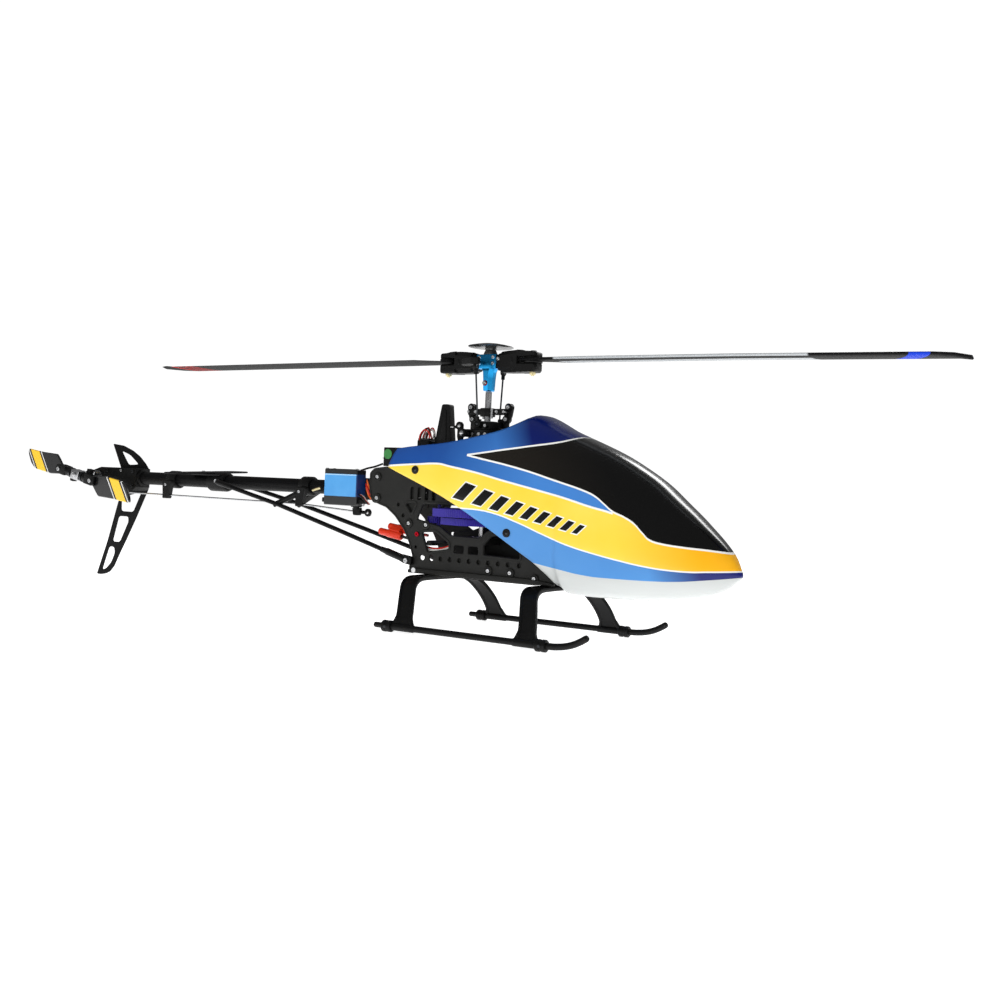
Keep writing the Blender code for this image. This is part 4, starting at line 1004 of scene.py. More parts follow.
def build_landing_gear():
    bow = [(0, STRUT_TOP_Z, 0), (22, STRUT_TOP_Z, 0), (36, STRUT_TOP_Z - 0.8, 10),
           (45.5, STRUT_TOP_Z - 5, 34),
           (51.6, STRUT_TOP_Z - 11.5, 50), (56.8, 22, 60), (60.8, 14.4, 66), (63, 9.6, 70),
           (RAIL_Y - 0.4, 6.4, 74)]
    half = smooth_path(bow, 5)
    path = [Vector((-p.x, p.y, p.z)) for p in reversed(half)] + half[1:]
    for name, foot_x in zip(("rear", "front"), STRUT_X):
        rings = []
        for y, z, lean in path:
            rise = (z - RAIL_Z) / (STRUT_TOP_Z - RAIL_Z)
            x = foot_x - STRUT_RAKE * max(rise, 0.0) ** 1.8
            wide = STRUT_W / 2 + STRUT_FLARE * max(0.0, 1 - 3.6 * rise) ** 2
            tilt = math.copysign(math.radians(lean), y)
            z -= STRUT_THICK / 2 * math.cos(tilt) if z > 12 else 0.0
            ring = []
            for share, thick in ((1, 0.55), (0.97, 1), (0.74, 1), (0.66, 0.55), (-0.66, 0.55), (-0.74, 1),
                                 (-0.97, 1), (-1, 0.55), (-1, -0.55), (-0.97, -1), (-0.74, -1),
                                 (-0.66, -0.55),
                                 (0.66, -0.55), (0.74, -1), (0.97, -1), (1, -0.55)):
                out = STRUT_THICK / 2 * thick
                ring.append((x + wide * share, y + out * math.sin(tilt), z + out * math.cos(tilt)))
            rings.append(ring)
        piece("skid_strut_%s_form" % name, loft(rings), BLACK, "airframe", ["skid_strut_" + name],
              smooth=30.0)
    rail = [(-50.6, RAIL_Z, 1.2), (-50.2, RAIL_Z, 1.8), (-49.4, RAIL_Z, 2.1), (-43.0, RAIL_Z, 2.1)]
    for x in COLLAR_X:
        for end, radius in ((-4.2, RAIL_R), (-4.2, 3.8), (-3.6, 4.4), (-1.0, 4.4), (-0.6, 4.0), (0.6, 4.0),
                            (1.0, 4.4), (3.6, 4.4), (4.2, 3.8), (4.2, RAIL_R)):
            rail.append((x + end, RAIL_Z, radius))
    bend = [(105, 4.6), (112, 5.5), (119, 7.4), (125, 10.2), (129.4, 12.9)]
    rail += [(p.x, p.y, RAIL_R) for p in smooth_path([(x, z, 0) for x, z in bend], 5)]
    rail += [(130.2, 13.4, 2.1), (130.7, 13.7, 1.4)]
    for side, sign in (("right", -1), ("left", 1)):
        points = [(x, sign * RAIL_Y, z) for x, z, radius in rail]
        bar = tube(points, [radius for x, z, radius in rail], 20)
        parts = [(bar, 0)]
        for x in STRUT_X:
            cuff = ((-11, RAIL_R), (-11, 2.5), (-9.6, 2.9), (9.6, 2.9), (11, 2.5), (11, RAIL_R))
            parts.append((lathe(cuff, (x, sign * RAIL_Y, RAIL_Z), (1, 0, 0), 24), 0))
        for x in COLLAR_X:
            parts.append((screw((x, sign * (RAIL_Y + 4.0), RAIL_Z), (0, sign, 0), 1.1, 0.5), 1))
        piece("skid_rail_%s_form" % side, together(*parts), [BLACK, DARK_METAL], "airframe",
              ["skid_rail_" + side])


# ---------------------------------------------------------------- main rotor

def build_rotor_core():
    shaft = ((62, 0), (62, 2.1), (62.4, 2.5), (185.6, 2.5), (186, 2.1), (186, 0))
    piece("main_shaft_form", lathe(shaft, (0, 0, 0), (0, 0, 1), 32), STEEL, "main_rotor", ["main_shaft"])
    NODES["main_gear"].data.materials.clear()
    NODES["main_gear"].data.materials.append(VIOLET)
    NODES["tail_drive_gear"].data.materials.clear()
    NODES["tail_drive_gear"].data.materials.append(VIOLET)
    parts = []
    rim = ((0, 29), (0, 35.4), (0.5, 35.0), (0.5, 29.4))
    parts.append((lathe(rim, (0, 0, 93.5), (0, 0, 1), 64), 0))
    hub = ((0, 2.6), (0, 10), (1.6, 9.4), (3.4, 7.4), (9.6, 7.0), (10, 6.6), (10, 2.6))
    parts.append((lathe(hub, (0, 0, 93.5), (0, 0, 1), 32), 1))
    for k in range(4):
        turn = math.tau * (k + 0.5) / 4
        parts.append((screw((13 * math.cos(turn), 13 * math.sin(turn), 93.5), (0, 0, 1), 1.5, 1.2), 2))
        web = Vector((math.cos(turn), math.sin(turn), 0))
        parts.append((tube([web * 9 + Vector((0, 0, 93.9)), web * 30 + Vector((0, 0, 93.7))], 0.9, 8), 0))
    collar = ((0, 2.55), (0, 5.6), (0.4, 6), (5.2, 6), (5.6, 5.6), (5.6, 2.55))
    parts.append((lathe(collar, (0, 0, 126), (0, 0, 1), 28), 3))
    piece("gear_fittings", together(*parts), [VIOLET, STEEL, SCREW, DARK_METAL], "main_rotor")
    rings = []
    for z, half_x, half_y in ((186.3, 3.3, 4.9), (187, 3.7, 5.2), (196, 4.1, 5.6), (201, 4.6, 5.9),
                              (203.6, 6.2, 6.0)):
        cut = 0.35
        rings.append([Vector(p) for p in ((half_x, -half_y * cut, z), (half_x, half_y * cut, z),
                                          (half_x * 0.55, half_y, z), (-half_x * 0.55, half_y, z),
                                          (-half_x, half_y * cut, z), (-half_x, -half_y * cut, z),
                                          (-half_x * 0.55, -half_y, z), (half_x * 0.55, -half_y, z))])
    parts = [(eased(loft(rings), 0.3, 25.0), 0),
             (eased(block((-8.8, -6.0, 203.4), (8.9, 6.0, 214.6)), 0.7), 0),
             (lathe(((-26, 0), (-26, 1.1), (-25.6, 1.5), (25.6, 1.5), (26, 1.1), (26, 0)), (0, 0, ROTOR_Z),
                    (1, 0, 0), 16), 1)]
    for x, z in ((-6.2, 207.4), (-6.2, 212.2), (6.3, 207.4), (6.3, 212.2)):
        parts.append((screw((x, -5.9, z), (0, -1, 0), 1.3, 0.8), 2))
        parts.append((screw((x, 5.9, z), (0, 1, 0), 1.3, 0.8), 2))
    parts.append((washer((-0.4, -5.3, 192.3), (0, -1, 0.06), 2.1, 0.5), 3))
    parts.append((screw((-0.4, -5.6, 192.3), (0, -1, 0.06), 1.6, 1.6), 2))
    parts.append((nut((-0.4, 5.2, 192.3), (0, 1, 0.06), 1.9, 1.6), 2))
    for sign in (1, -1):
        ring = ((8.95, 1.6), (8.95, 5.2), (9.4, 5.2), (9.4, 1.6))
        parts.append((lathe(ring, (0, 0, ROTOR_Z), (sign, 0, 0), 24), 1))
    piece("head_block_form", together(*parts), [ANODISED, STEEL, SCREW, RED_ANODISED], "main_rotor",
          ["head_block"])
    button = ((214.7, 0), (214.7, 5.2), (215.6, 5.4), (218.2, 4.2), (219.4, 4.6), (219.7, 9), (220.1, 14.5),
              (220.5, 17.5), (220.8, 17.9), (221.1, 17.5), (222.0, 13.4), (222.9, 8.6), (223.4, 4),
              (223.6, 0))
    piece("head_button_form", lathe(button, (0, 0, 0), (0, 0, 1), 48), BUTTON, "main_rotor", ["head_button"])
    refined("swash_driver", BLACK, 0.4)
    parts = []
    for x, y in ((6.4, -4.2), (-6.4, 4.2)):
        parts.append((lathe(((165.0, 0), (165.0, 1.0), (172.6, 1.0), (172.6, 0)), (x, y, 0), (0, 0, 1), 12),
                      0))
    for sign in (1, -1):
        parts.append((screw((sign * 9.5, -2.4, 170.3), (0, -1, 0), 1.4, 0.8), 0))
        parts.append((lathe(((-3.4, 0), (-3.4, 1.1), (5.4, 1.1), (5.4, 0)), (sign * 16.2, 0, 170.3),
                            (0, 1, 0), 12), 0))
    piece("driver_pins", together(*parts), [SCREW], "main_rotor")


def build_grip(name, sign):
    body_name = name + "_grip"
    x = sign * BLADE_BOLT_R
    slot_half = 2.5

    def along(axis_sections):
        drop = 0.8            # the clamp hangs a little below the blade's plane
        return [(sign * w, half, ROTOR_Z + max(low - drop, low if low > 0 else -9.4),
                 ROTOR_Z + (high - 2 * drop if high > 4 else high))
                for w, half, low, high in axis_sections]

    body = along(((9.5, 5.6, -5.6, 5.6), (10.2, 6.8, -6.8, 6.8), (12.6, 7.2, -7.4, 7.2),
                  (13.4, 8.0, -8.3, 8.2), (19, 8.2, -8.8, 8.8),
                  (25, 8.0, -9.0, 9.2), (28.6, 7.8, -9.0, 9.2)))
    upper = along(((28, 7.8, slot_half, 9.2), (33, 7.6, slot_half, 8.9), (36, 7.4, slot_half, 8.2),
                   (42, 6.8, slot_half, 7.9),
                   (43.4, 5.6, slot_half, 7.4), (44.4, 4.0, slot_half, 6.4)))
    lower = along(((28, 7.8, -9.0, -slot_half), (33, 7.6, -8.9, -slot_half), (42, 6.8, -8.4, -slot_half),
                   (43.4, 5.6, -7.8, -slot_half), (44.4, 4.0, -6.8, -slot_half)))
    arm = [(sign * u, sign * v) for u, v in ((11, 5), (20, 5), (17, 15), (3.4, 22.4), (-3, 22.4), (-3, 17.6),
                                             (2.4, 17.2), (11, 11))]
    parts = [(bar("X", body, 0.42), 0), (bar("X", upper, 0.3), 0), (bar("X", lower, 0.3), 0),
             (plate("Z", softened(arm, 1.6), ROTOR_Z - 4.8, ROTOR_Z + 0.8, (), 0.9), 0)]
    for w, r in ((15.6, 8.1), (24.4, 8.4)):
        painted_sheen = ((-0.9, 4), (-0.9, r - 0.5), (-0.5, r), (0.5, r), (0.9, r - 0.5), (0.9, 4))
        parts.append((lathe(painted_sheen, (sign * w, 0, ROTOR_Z - 0.8), (1, 0, 0), 28), 0))
    piece("main_grip_%s_form" % name, together(*parts), [BLACK], body_name, ["main_grip_" + name],
          smooth=32.0)
    parts = [(screw((x, 0, ROTOR_Z + 6.2), (0, 0, 1), 2.5, 1.2), 1),
             (nut((x, 0, ROTOR_Z - 9.0), (0, 0, -1), 2.7, 2.0), 2),
             (lathe(((-6.4, 0), (-6.4, 1.7), (6.4, 1.7), (6.4, 0)), (x, 0, ROTOR_Z), (0, 0, 1), 16), 1),
             (screw((sign * 11.6, -6.9, ROTOR_Z + 1.0), (0, -1, 0), 1.3, 0.8), 1)]
    y = sign * 20.0
    parts.append((lathe(((-0.2, 0), (-0.2, 1.5), (2.0, 1.5), (2.0, 0.9), (3.2, 0.9), (3.2, 0)),
                        (0, y, ROTOR_Z - 4.2),
                        (0, 0, -1), 14), 1))
    piece(name + "_grip_fittings", together(*parts), [BLACK, SCREW, BRASS], body_name)


BLADE_CHORD, BLADE_THICK = 30.0, 3.0
BLADE_STATIONS = ((31.0, 0.46, 0), (35.0, 0.56, 0), (46.0, 0.66, 0), (60.0, 0.98, 0), (80.0, 1.0, 0),
                  (200.0, 1.0, -1.0), (330.0, 1.0, -3.0), (342.0, 0.82, -3.2), (349.7, 0.30, -3.4))
BLADE_SECTION = ((0.0, 0.0), (0.012, 0.17), (0.05, 0.31), (0.12, 0.42), (0.22, 0.48), (0.32, 0.5),
                 (0.5, 0.44),
                 (0.68, 0.33), (0.85, 0.17), (1.0, 0.04), (1.0, -0.04), (0.85, -0.17), (0.68, -0.33),
                 (0.5, -0.44), (0.32, -0.5), (0.22, -0.48), (0.12, -0.42), (0.05, -0.31), (0.012, -0.17))


def build_main_blade(name, sign, paint):
    lead = -sign
    rings = []
    for (r0, s0, d0), (r1, s1, d1) in zip(BLADE_STATIONS, BLADE_STATIONS[1:]):
        count = max(1, round((r1 - r0) / 14)) if s0 != s1 else 4
        for k in range(count + (1 if r1 == BLADE_STATIONS[-1][0] else 0)):
            t = k / count
            radius, share, drop = r0 + (r1 - r0) * t, s0 + (s1 - s0) * t, d0 + (d1 - d0) * t
            chord = BLADE_CHORD * share
            blend = min(1.0, max(0.0, (radius - 46) / 14))
            trailing = -chord / 2 * (1 - blend) - BLADE_CHORD * 0.62 * blend
            rings.append([(sign * radius, lead * (trailing + chord * (1 - along)),
                           ROTOR_Z + (drop if sign > 0 else 0.0) + height * BLADE_THICK)
                          for along, height in BLADE_SECTION])
    root = ((-2.3, 1.9), (-2.3, 6.8), (-1.9, 7.2), (1.9, 7.2), (2.3, 6.8), (2.3, 1.9))
    parts = together((loft(rings), 0), (lathe(root, (sign * BLADE_BOLT_R, 0, ROTOR_Z), (0, 0, 1), 32), 1))
    piece("main_blade_%s_form" % name, parts, [paint, BLACK], name + "_blade", ["main_blade_" + name],
          smooth=45.0)


# ---------------------------------------------------------------- swashplate

def build_swashplate():
    ring = ((149.0, 7.6), (149.0, 13.6), (149.6, 14.4), (152.2, 14.6), (154.0, 15.2), (155.4, 15.2),
            (155.8, 14.4), (155.8, 7.6))
    parts = [(lathe(ring, (0, 0, 0), (0, 0, 1), 48), 0)]
    for y in (-18.6, 7.0):
        ear = softened(((-14, 150), (-6, 150), (-6, 155), (-14, 155)), 1.6)
        parts.append((plate("Y", ear, y, y + 11.6, (), 0.5), 0))
    parts.append((eased(block((12, -2.5, 150.5), (19.5, 2.5, 155)), 0.6), 0))
    parts.append((eased(block((-25, -4.6, 151.2), (-13, -0.6, 156.6)), 0.8), 0))
    for sign in (1, -1):
        route = [(-8, sign * 24.6, 113), (-8.4, sign * 24.2, 126), (-10.2, sign * 20.8, 146),
                 (-10.6, sign * 18.8, 151)]
        parts.append((tube([Vector(route[0]) + Vector((0, 0, 3)), route[1], route[2], route[3]], 0.9, 10),
                      1))
        parts.append((tube([Vector(route[0]) + Vector((0, 0, 2)),
                            Vector(route[0]) + Vector((-0.2, -sign * 0.2, 9))], 1.6, 12), 0))
        parts.append((tube([Vector(route[2]) + Vector((0.3, sign * 0.4, -3)),
                            Vector(route[3]) + Vector((0, 0, -1))], 1.6, 12), 0))
        parts.append((eye((-8, sign * 24.6, 114), (0, 1, 0), 3.2, 1.9, 2.8), 0))
    piece("swash_lower_ring_form", together(*parts), [BLACK, DARK_METAL], "swash_lower",
          ["swash_lower_ring"])
    refined("swash_upper_ring", BLACK, 0.45)
    high = box_mm("anti_rotation_guide")[1]
    post = softened(((-49, 125.2), (-31, 125.2), (-33, 146), (-36.4, high.z), (-43, high.z), (-48.6, 146)),
                    1.6)
    side = eased(prism("Y", post, -1.5, 6.4), 0.8)
    groove = softened(((-44.6, 148), (-37.2, 148), (-38.4, 172), (-42, 172)), 1.0)
    parts = [(side, 0), (eased(prism("Y", groove, -2.1, -1.4), 0.3), 0),
             (screw((-40, -1.5, 131), (0, -1, 0), 1.5, 1.0), 1),
             (screw((-40, -1.5, 140), (0, -1, 0), 1.5, 1.0), 1)]
    piece("anti_rotation_guide_form", together(*parts), [BLACK, SCREW], "airframe", ["anti_rotation_guide"])
    parts = [(lathe(((-0.3, 7.6), (-0.3, 12.4), (0.2, 12.4), (0.2, 7.6)), (0, 0, 148.9), (0, 0, 1), 40), 1)]
    for y in (-19.4, 19.4):
        parts.append((ball((-10, y, 152.5), 2.4), 1))
        parts.append((eye((-10, y, 152.5), (0, 1, 0), 3.6, 2.1, 2.8), 0))
    parts.append((lathe(((-42.6, 0), (-42.6, 0.7), (-42.2, 1.0), (-31, 1.0), (-31, 0)), (0, 0, 158.4),
                        (1, 0, 0), 16), 2))
    parts.append((tube([(-31, 0, 158.4), (-26, -1.2, 158.2), (-22, -2.6, 157.6)], [1.0, 1.6, 2.0], 12), 0))
    parts.append((eye((-22.6, -4.6, 159.0), (0, 1, 0), 3.3, 1.9, 3.0), 0))
    parts.append((ball((-22.6, -4.6, 159.0), 2.0), 1))
    parts.append((tube([(-22.6, -4.6, 156), (-22.6, -4.6, 150.5), (-22.5, -4.4, 147), (-22.4, -4.4, 140)],
                       [1.8, 1.9, 1.2, 0.8], 12), 0))
    for x, y in ((1.9, -14.4), (6.8, -13.4), (-4, -14.2)):
        parts.append((screw((x, y, 152.2), (x * 0.06, -1, 0), 1.3, 0.8), 1))
    piece("swash_lower_fittings", together(*parts), [BLACK, SCREW, STEEL], "swash_lower")
    parts = [(lathe(((-0.2, 4.6), (-0.2, 11.6), (0.5, 11.2), (0.8, 8.6), (0.8, 4.6)), (0, 0, 161.9),
                    (0, 0, 1), 40), 1)]
    for sign in (1, -1):
        wedge = softened([(sign * u, v) for u,
                          v in ((9, 157.4), (15.4, 157.6), (19.6, 167), (21, 174.4), (18.6, 177),
                                                     (15.2, 175.6), (13.6, 168.4), (9.6, 162.4))], 1.2)
        parts.append((eased(prism("Y", wedge, 2.7, 5.6), 0.5), 0))
        parts.append((lathe(((12.5, 0), (12.5, 1.0), (15.4, 1.0), (15.4, 0)), (1.2, 0, 160), (0, sign, 0),
                            12), 1))
        for x in (1.9, 7.0):
            ring = ((12.4, 0.9), (12.4, 2.3), (13.8, 2.3), (14.4, 1.9), (14.4, 0.9))
            parts.append((lathe(ring, (x, 0, 158.8), (0, sign, 0), 20), 0))
            parts.append((screw((x, sign * 13.6, 158.8), (0, sign, 0), 1.2, 0.9), 1))
        for x, z in ((sign * 17.2, 174.2), (sign * 15.4, 164.8)):
            for y, way in ((2.9, -1), (5.4, 1)):
                ring = ((-0.1, 1.3), (-0.1, 3.0), (1.0, 3.0), (1.4, 2.6), (1.4, 1.3))
                parts.append((lathe(ring, (x, y, z), (0, way, 0), 20), 0))
                parts.append((screw((x, y + way * 0.8, z), (0, way, 0), 1.6, 1.2), 1))
    piece("swash_upper_fittings", together(*parts), [BLACK, SCREW], "swash_upper")
    for name, sign in (("front", 1), ("rear", -1)):
        parts = link((1.2, sign * 15.4, 160.0), (0, sign * 19.9, 203.2), 0.7, ((0, 1, 0), (1, 0, 0)), 3.4)
        piece("pitch_link_%s_form" % name, together(*parts), [BLACK, DARK_METAL], "swash_upper",
              ["pitch_link_" + name])
    for side, sign in (("right", -1), ("left", 1)):
        refined("cyclic_horn_" + side, BLACK, 0.35)
        parts = [(screw((-22, sign * 22.7, 114), (0, sign, 0), 1.5, 0.9), 1),
                 (ball((-8, sign * 24.6, 114), 1.9), 1),
                 (lathe(((22.6, 0), (22.6, 1.0), (24, 1.0), (24, 0)), (-8, 0, 114), (0, sign, 0), 12), 1)]
        piece("cyclic_horn_%s_ball" % side, together(*parts), [BLACK, SCREW], "cyclic_horn_" + side)


# ---------------------------------------------------------------- drive train

def build_drive():
    NODES["motor_bell"].data.materials.clear()
    NODES["motor_bell"].data.materials.append(DARK_METAL)
    middle = sum(box_mm("motor_bell"), Vector()) / 2
    slots = []
    for k in range(8):
        turn = math.tau * k / 8
        slots.append((lathe(((0, 0), (0, 1.7), (0.25, 1.7), (0.25, 0)),
                            (middle.x + 8.2 * math.cos(turn), 8.2 * math.sin(turn), 111.9), (0, 0, 1), 14),
                            0))
    slots.append((lathe(((101, 13.55), (101, 13.8), (103.5, 13.8), (103.5, 13.55)), (middle.x, 0, 0),
                        (0, 0, 1), 40), 1))
    piece("motor_details", together(*slots), [RUBBER, STEEL], "motor_rotor")
    NODES["tail_drive_pinion"].data.materials.clear()
    NODES["tail_drive_pinion"].data.materials.append(VIOLET)
    NODES["torque_tube"].data.materials.clear()
    NODES["torque_tube"].data.materials.append(STEEL)


# ---------------------------------------------------------------- tail

BRACE = ((-56, 22.4, 52), (-130, 19.4, 71.4), (-200, 16, 89), (-278, 12.6, 105.6))
WING_TILT = 3.0               # the stabiliser isn't level, its right tip is the lower one


def build_boom():
    outer = 6.0
    boom = ((-400, outer - 0.7), (-400, outer - 0.2), (-399.8, outer), (-64.2, outer), (-64, outer - 0.2),
            (-64, outer - 0.7))
    piece("tail_boom_form", lathe(boom, (0, 0, BOOM_Z), (1, 0, 0), 40), CARBON, "airframe", ["tail_boom"])
    for name in ("front", "rear"):
        low, high = box_mm("boom_guide_" + name)
        x = (low.x + high.x) / 2
        ring = ((-5.6, 6.3), (-5.6, 7.6), (-4.8, 8.2), (4.8, 8.2), (5.6, 7.6), (5.6, 6.3))
        tab = softened(((x - 5.2, 105), (x - 4.2, 92), (x - 4.4, 88.2), (x + 2.8, 88.2), (x + 3.6, 92),
                        (x + 6.2, 105)), 1.2)
        parts = [(lathe(ring, (x, 0, BOOM_Z), (1, 0, 0), 36), 0), (plate("Y", tab, -12.6, -6.6, (), 0.8), 0),
                 (screw((x, -12.4, 101), (0, -1, 0), 1.3, 0.8), 1)]
        if name == "front":
            for sign in (1, -1):
                arm = [(x + 4, sign * 8.0, 102.4), (x - 4, sign * 10.4, 98.6), (x - 25, sign * 15.6, 88.4)]
                parts.append((tube(arm, [3.0, 2.7, 2.2], 12), 0))
        piece("boom_guide_%s_form" % name, together(*parts), [BLACK, SCREW], "airframe",
              ["boom_guide_" + name])
    ring = ((-297, 6.3), (-297, 8.0), (-296, 8.8), (-278, 8.8), (-276, 8.0), (-276, 6.3))
    seat = softened(((-318, -9), (-279, -9), (-279, 9), (-318, 9)), 3)
    parts = [(lathe(ring, (0, 0, BOOM_Z), (1, 0, 0), 36), 0), (plate("Z", seat, 111.2, 113.1, (), 0.5), 0)]
    for sign in (1, -1):
        parts.append((bar("X", ((-286, 3.2, 103, 110), (-276, 3.2, 103.4, 109.6)), 0.4), 0))
        parts.append((screw((-279.6, sign * 12.6, 106.6), (0, sign, 0), 1.7, 1.0), 1))
        parts.append((tube([(-279.6, sign * 6, 106.6), (-279.6, sign * 12.4, 106.6)], 2.2, 12), 0))
    piece("stabilizer_clamp_form", together(*parts), [BLACK, SCREW], "airframe", ["stabilizer_clamp"])
    wing = softened(((-318, -43), (-291, -43), (-289, 0), (-291, 43), (-318, 43)), 9, 6)
    bm = plate("Z", wing, 113.1, 114.6, (), 0.5)
    bmesh.ops.rotate(bm, verts=bm.verts, cent=(0, 0, 113.1),
                     matrix=Matrix.Rotation(math.radians(WING_TILT), 3, "X"))
    piece("horizontal_stabilizer_form", bm, CARBON, "airframe", ["horizontal_stabilizer"])
    parts = []
    for x in (-92, -71):
        for y in (-12.5, 12.5):
            parts.append((screw((x, y, 118.9), (0, 0, 1), 1.6, 1.2), 0))
    for y in (-5, 5):
        parts.append((screw((-304, y, 114.6), (0, 0, 1), 1.4, 0.8), 0))
    piece("boom_screws", together(*parts), [SCREW], "airframe")
    for side, sign in (("right", -1), ("left", 1)):
        route = [Vector((x, sign * y, z)) for x, y, z in BRACE]
        front, rear = route[0], route[-1]
        way = (route[1] - route[0]).normalized()
        back = (route[-2] - route[-1]).normalized()
        parts = [(tube(route, 1.9, 16), 0)]
        parts.append((tube([front + way * 1, front + way * 4, front + way * 20, front + way * 21,
                            front + way * 26],
                           [2.4, 2.9, 2.9, 2.5, 2.2], 16), 1))
        ear = softened([(front.x + u, front.z + v) for u,
                        v in ((6.2, -4.2), (6.2, 2.6), (-4, 4.0), (-9, 3.6), (-9, 0.4), (-2, -2.8))], 1.8)
        parts.append((eased(prism("Y", ear, *sorted((sign * 20.3, sign * 24.0))), 0.5), 1))
        parts.append((screw((front.x + 1.6, sign * 24.0, front.z - 0.6), (0, sign, 0), 1.9, 1.3), 2))
        parts.append((tube([rear - back * 0.5, rear + back * 3, rear + back * 16, rear + back * 20],
                           [2.2, 2.5, 2.3, 1.95], 16), 1))
        piece("boom_brace_%s_form" % side, together(*parts), [CARBON, BLACK, SCREW], "airframe",
              ["boom_brace_" + side])


FIN = ((-447.2, 138.6), (-432, 137), (-418, 132.3), (-407.6, 126.8), (-399, 120), (-393.2, 113.8),
       (-391.8, 104), (-393.9, 94.8), (-410, 65.1), (-422, 44.6), (-431, 30), (-438, 17.5), (-444, 11.6),
       (-450.1, 9.2), (-457, 8), (-463, 8.2), (-449, 42.4), (-436.4, 80), (-431.8, 92), (-432.5, 112))
FIN_HOLES = (((-434.4, 131.8), (-421.6, 128), (-408.6, 119), (-423.4, 118.2)),
             ((-431.6, 86), (-402.6, 92.5), (-413.4, 72.4), (-431.2, 72.4)),
             ((-434.2, 67.4), (-420.3, 67.4), (-419.6, 62.6), (-431, 41.8), (-441.9, 41.8)),
             ((-446.4, 36.6), (-439, 36.6), (-437.4, 31), (-442.1, 21.4), (-449.5, 14.4), (-455.6, 12.8)))


def build_tail_case():
    refined("tail_gearbox", BLACK, 1.1)
    low, high = box_mm("vertical_fin")
    piece("vertical_fin_form", plate("Y", softened(FIN, 1.6), low.y, high.y, [softened(h,
            3.0) for h in FIN_HOLES], 0.4),
          CARBON, "airframe", ["vertical_fin"])
    parts = []
    for x, z in ((-396, 112), (-396, 97.6), (-412, 112.4), (-432, 112), (-452, 107.6), (-424, 96.2)):
        parts.append((lathe(((-0.2, 0), (-0.2, 2.6), (0.6, 2.4), (0.6, 0)), (x, -8.3, z), (0, -1, 0), 20),
                      1))
        parts.append((screw((x, -8.8, z), (0, -1, 0), 1.3, 0.8), 0 if x == -412 else 2))
    for x, z in ((-412, 104), (-428, 108), (-421, 112)):
        parts.append((screw((x, 10.2, z), (0, 1, 0), 1.6, 1.1), 0))
    parts.append((lathe(((-391.4, 6.3), (-391.4, 8.2), (-388.6, 7.8), (-388.2, 6.3)), (0, 0, BOOM_Z),
                        (1, 0, 0), 32), 1))
    parts.append((lathe(((8.2, 2.0), (8.2, 6.0), (9.6, 5.6), (9.6, 2.0)), (TAIL_X, 0, BOOM_Z), (0, -1, 0),
                        28), 0))
    piece("gearbox_fittings", together(*parts), [SCREW, BLACK, DARK_METAL], "airframe")


def build_tail_rotor():
    """Hub, slider, grips and blades, all turned with the tail rotor's rest angle."""
    turn = Matrix.Rotation(TAIL_ANGLE, 3, "Y")
    centre = Vector((TAIL_X, TAIL_Y, BOOM_Z))

    def spun(x, y, z):
        return tuple(centre + turn @ Vector((x, y, z)))

    def way(x, y, z):
        return tuple(turn @ Vector((x, y, z)))

    refined("tail_hub_shaft", STEEL, 0.4)
    refined("tail_pitch_slider", BLACK, 0.4)
    parts = [(lathe(((-0.3, 1.9), (-0.3, 4.6), (0.3, 4.6), (0.3, 1.9)), (TAIL_X, -19.5, BOOM_Z), (0, -1, 0),
                    24), 0)]
    for sign in (1, -1):
        parts.append((ball(spun(sign * 11.6, 14.6, 0), 1.8), 0))
        parts.append((lathe(((-0.3, 0), (-0.3, 1.3), (1.5, 1.3), (1.5, 0)), spun(sign * 11.6, 13.1, 0),
                            (0, -1, 0), 12), 0))
    piece("slider_fittings", together(*parts), [SCREW], "tail_slider")
    piece("tail_nut", together((nut((TAIL_X, TAIL_Y - 4.4, BOOM_Z), (0, -1, 0), 2.6, 1.8), 0)), [SCREW],
          "tail_rotor")
    for name, sign in (("front", 1), ("rear", -1)):
        refined("tail_grip_" + name, BLACK, 0.6)
        low = [(screw(spun(sign * TAIL_BOLT_R, -4.5, 0), (0, -1, 0), 2.0, 1.3), 0),
               (nut(spun(sign * TAIL_BOLT_R, 4.5, 0), (0, 1, 0), 2.2, 1.5), 0),
               (lathe(((-4.4, 0), (-4.4, 1.35), (4.4, 1.35), (4.4, 0)), spun(sign * TAIL_BOLT_R, 0, 0),
                      (0, 1, 0), 14), 0),
               (ball(spun(sign * 11.0, 8.4, sign * 5.0), 1.7), 0),
               (lathe(((7.2, 4.62), (7.2, 5.0), (9.6, 5.0), (9.6, 4.62)), spun(0, 0, 0), way(sign, 0, 0),
                      20), 1)]
        piece("tail_grip_%s_fittings" % name, together(*low), [SCREW, DARK_METAL], "tail_grip_" + name)
        shape = ((20.2, -2.8), (23, -4.4), (29, -6), (39, -8.2), (62, -9.2), (66, -8.6), (72, -5), (77, 1),
                 (79, 5),
                 (79, 7.6), (57, 9.4), (35, 12.4), (30, 9), (25, 4.9), (22, 4.2), (20.2, 2.8))
        outline = [(TAIL_X + sign * x, BOOM_Z - sign * z) for x, z in softened(shape, 1.4, 3)]
        hole = [circle(TAIL_X + sign * TAIL_BOLT_R, BOOM_Z, 1.5, 16)]
        bm = plate("Y", outline, TAIL_Y - 1.3, TAIL_Y + 1.3, hole, 0.6)
        bmesh.ops.rotate(bm, verts=bm.verts, cent=centre, matrix=turn)
        piece("tail_blade_%s_form" % name, bm, TAIL_BLADE_PAINT, "tail_blade_" + name,
              ["tail_blade_" + name])


SERVO_Z = (91.6, 121.4)


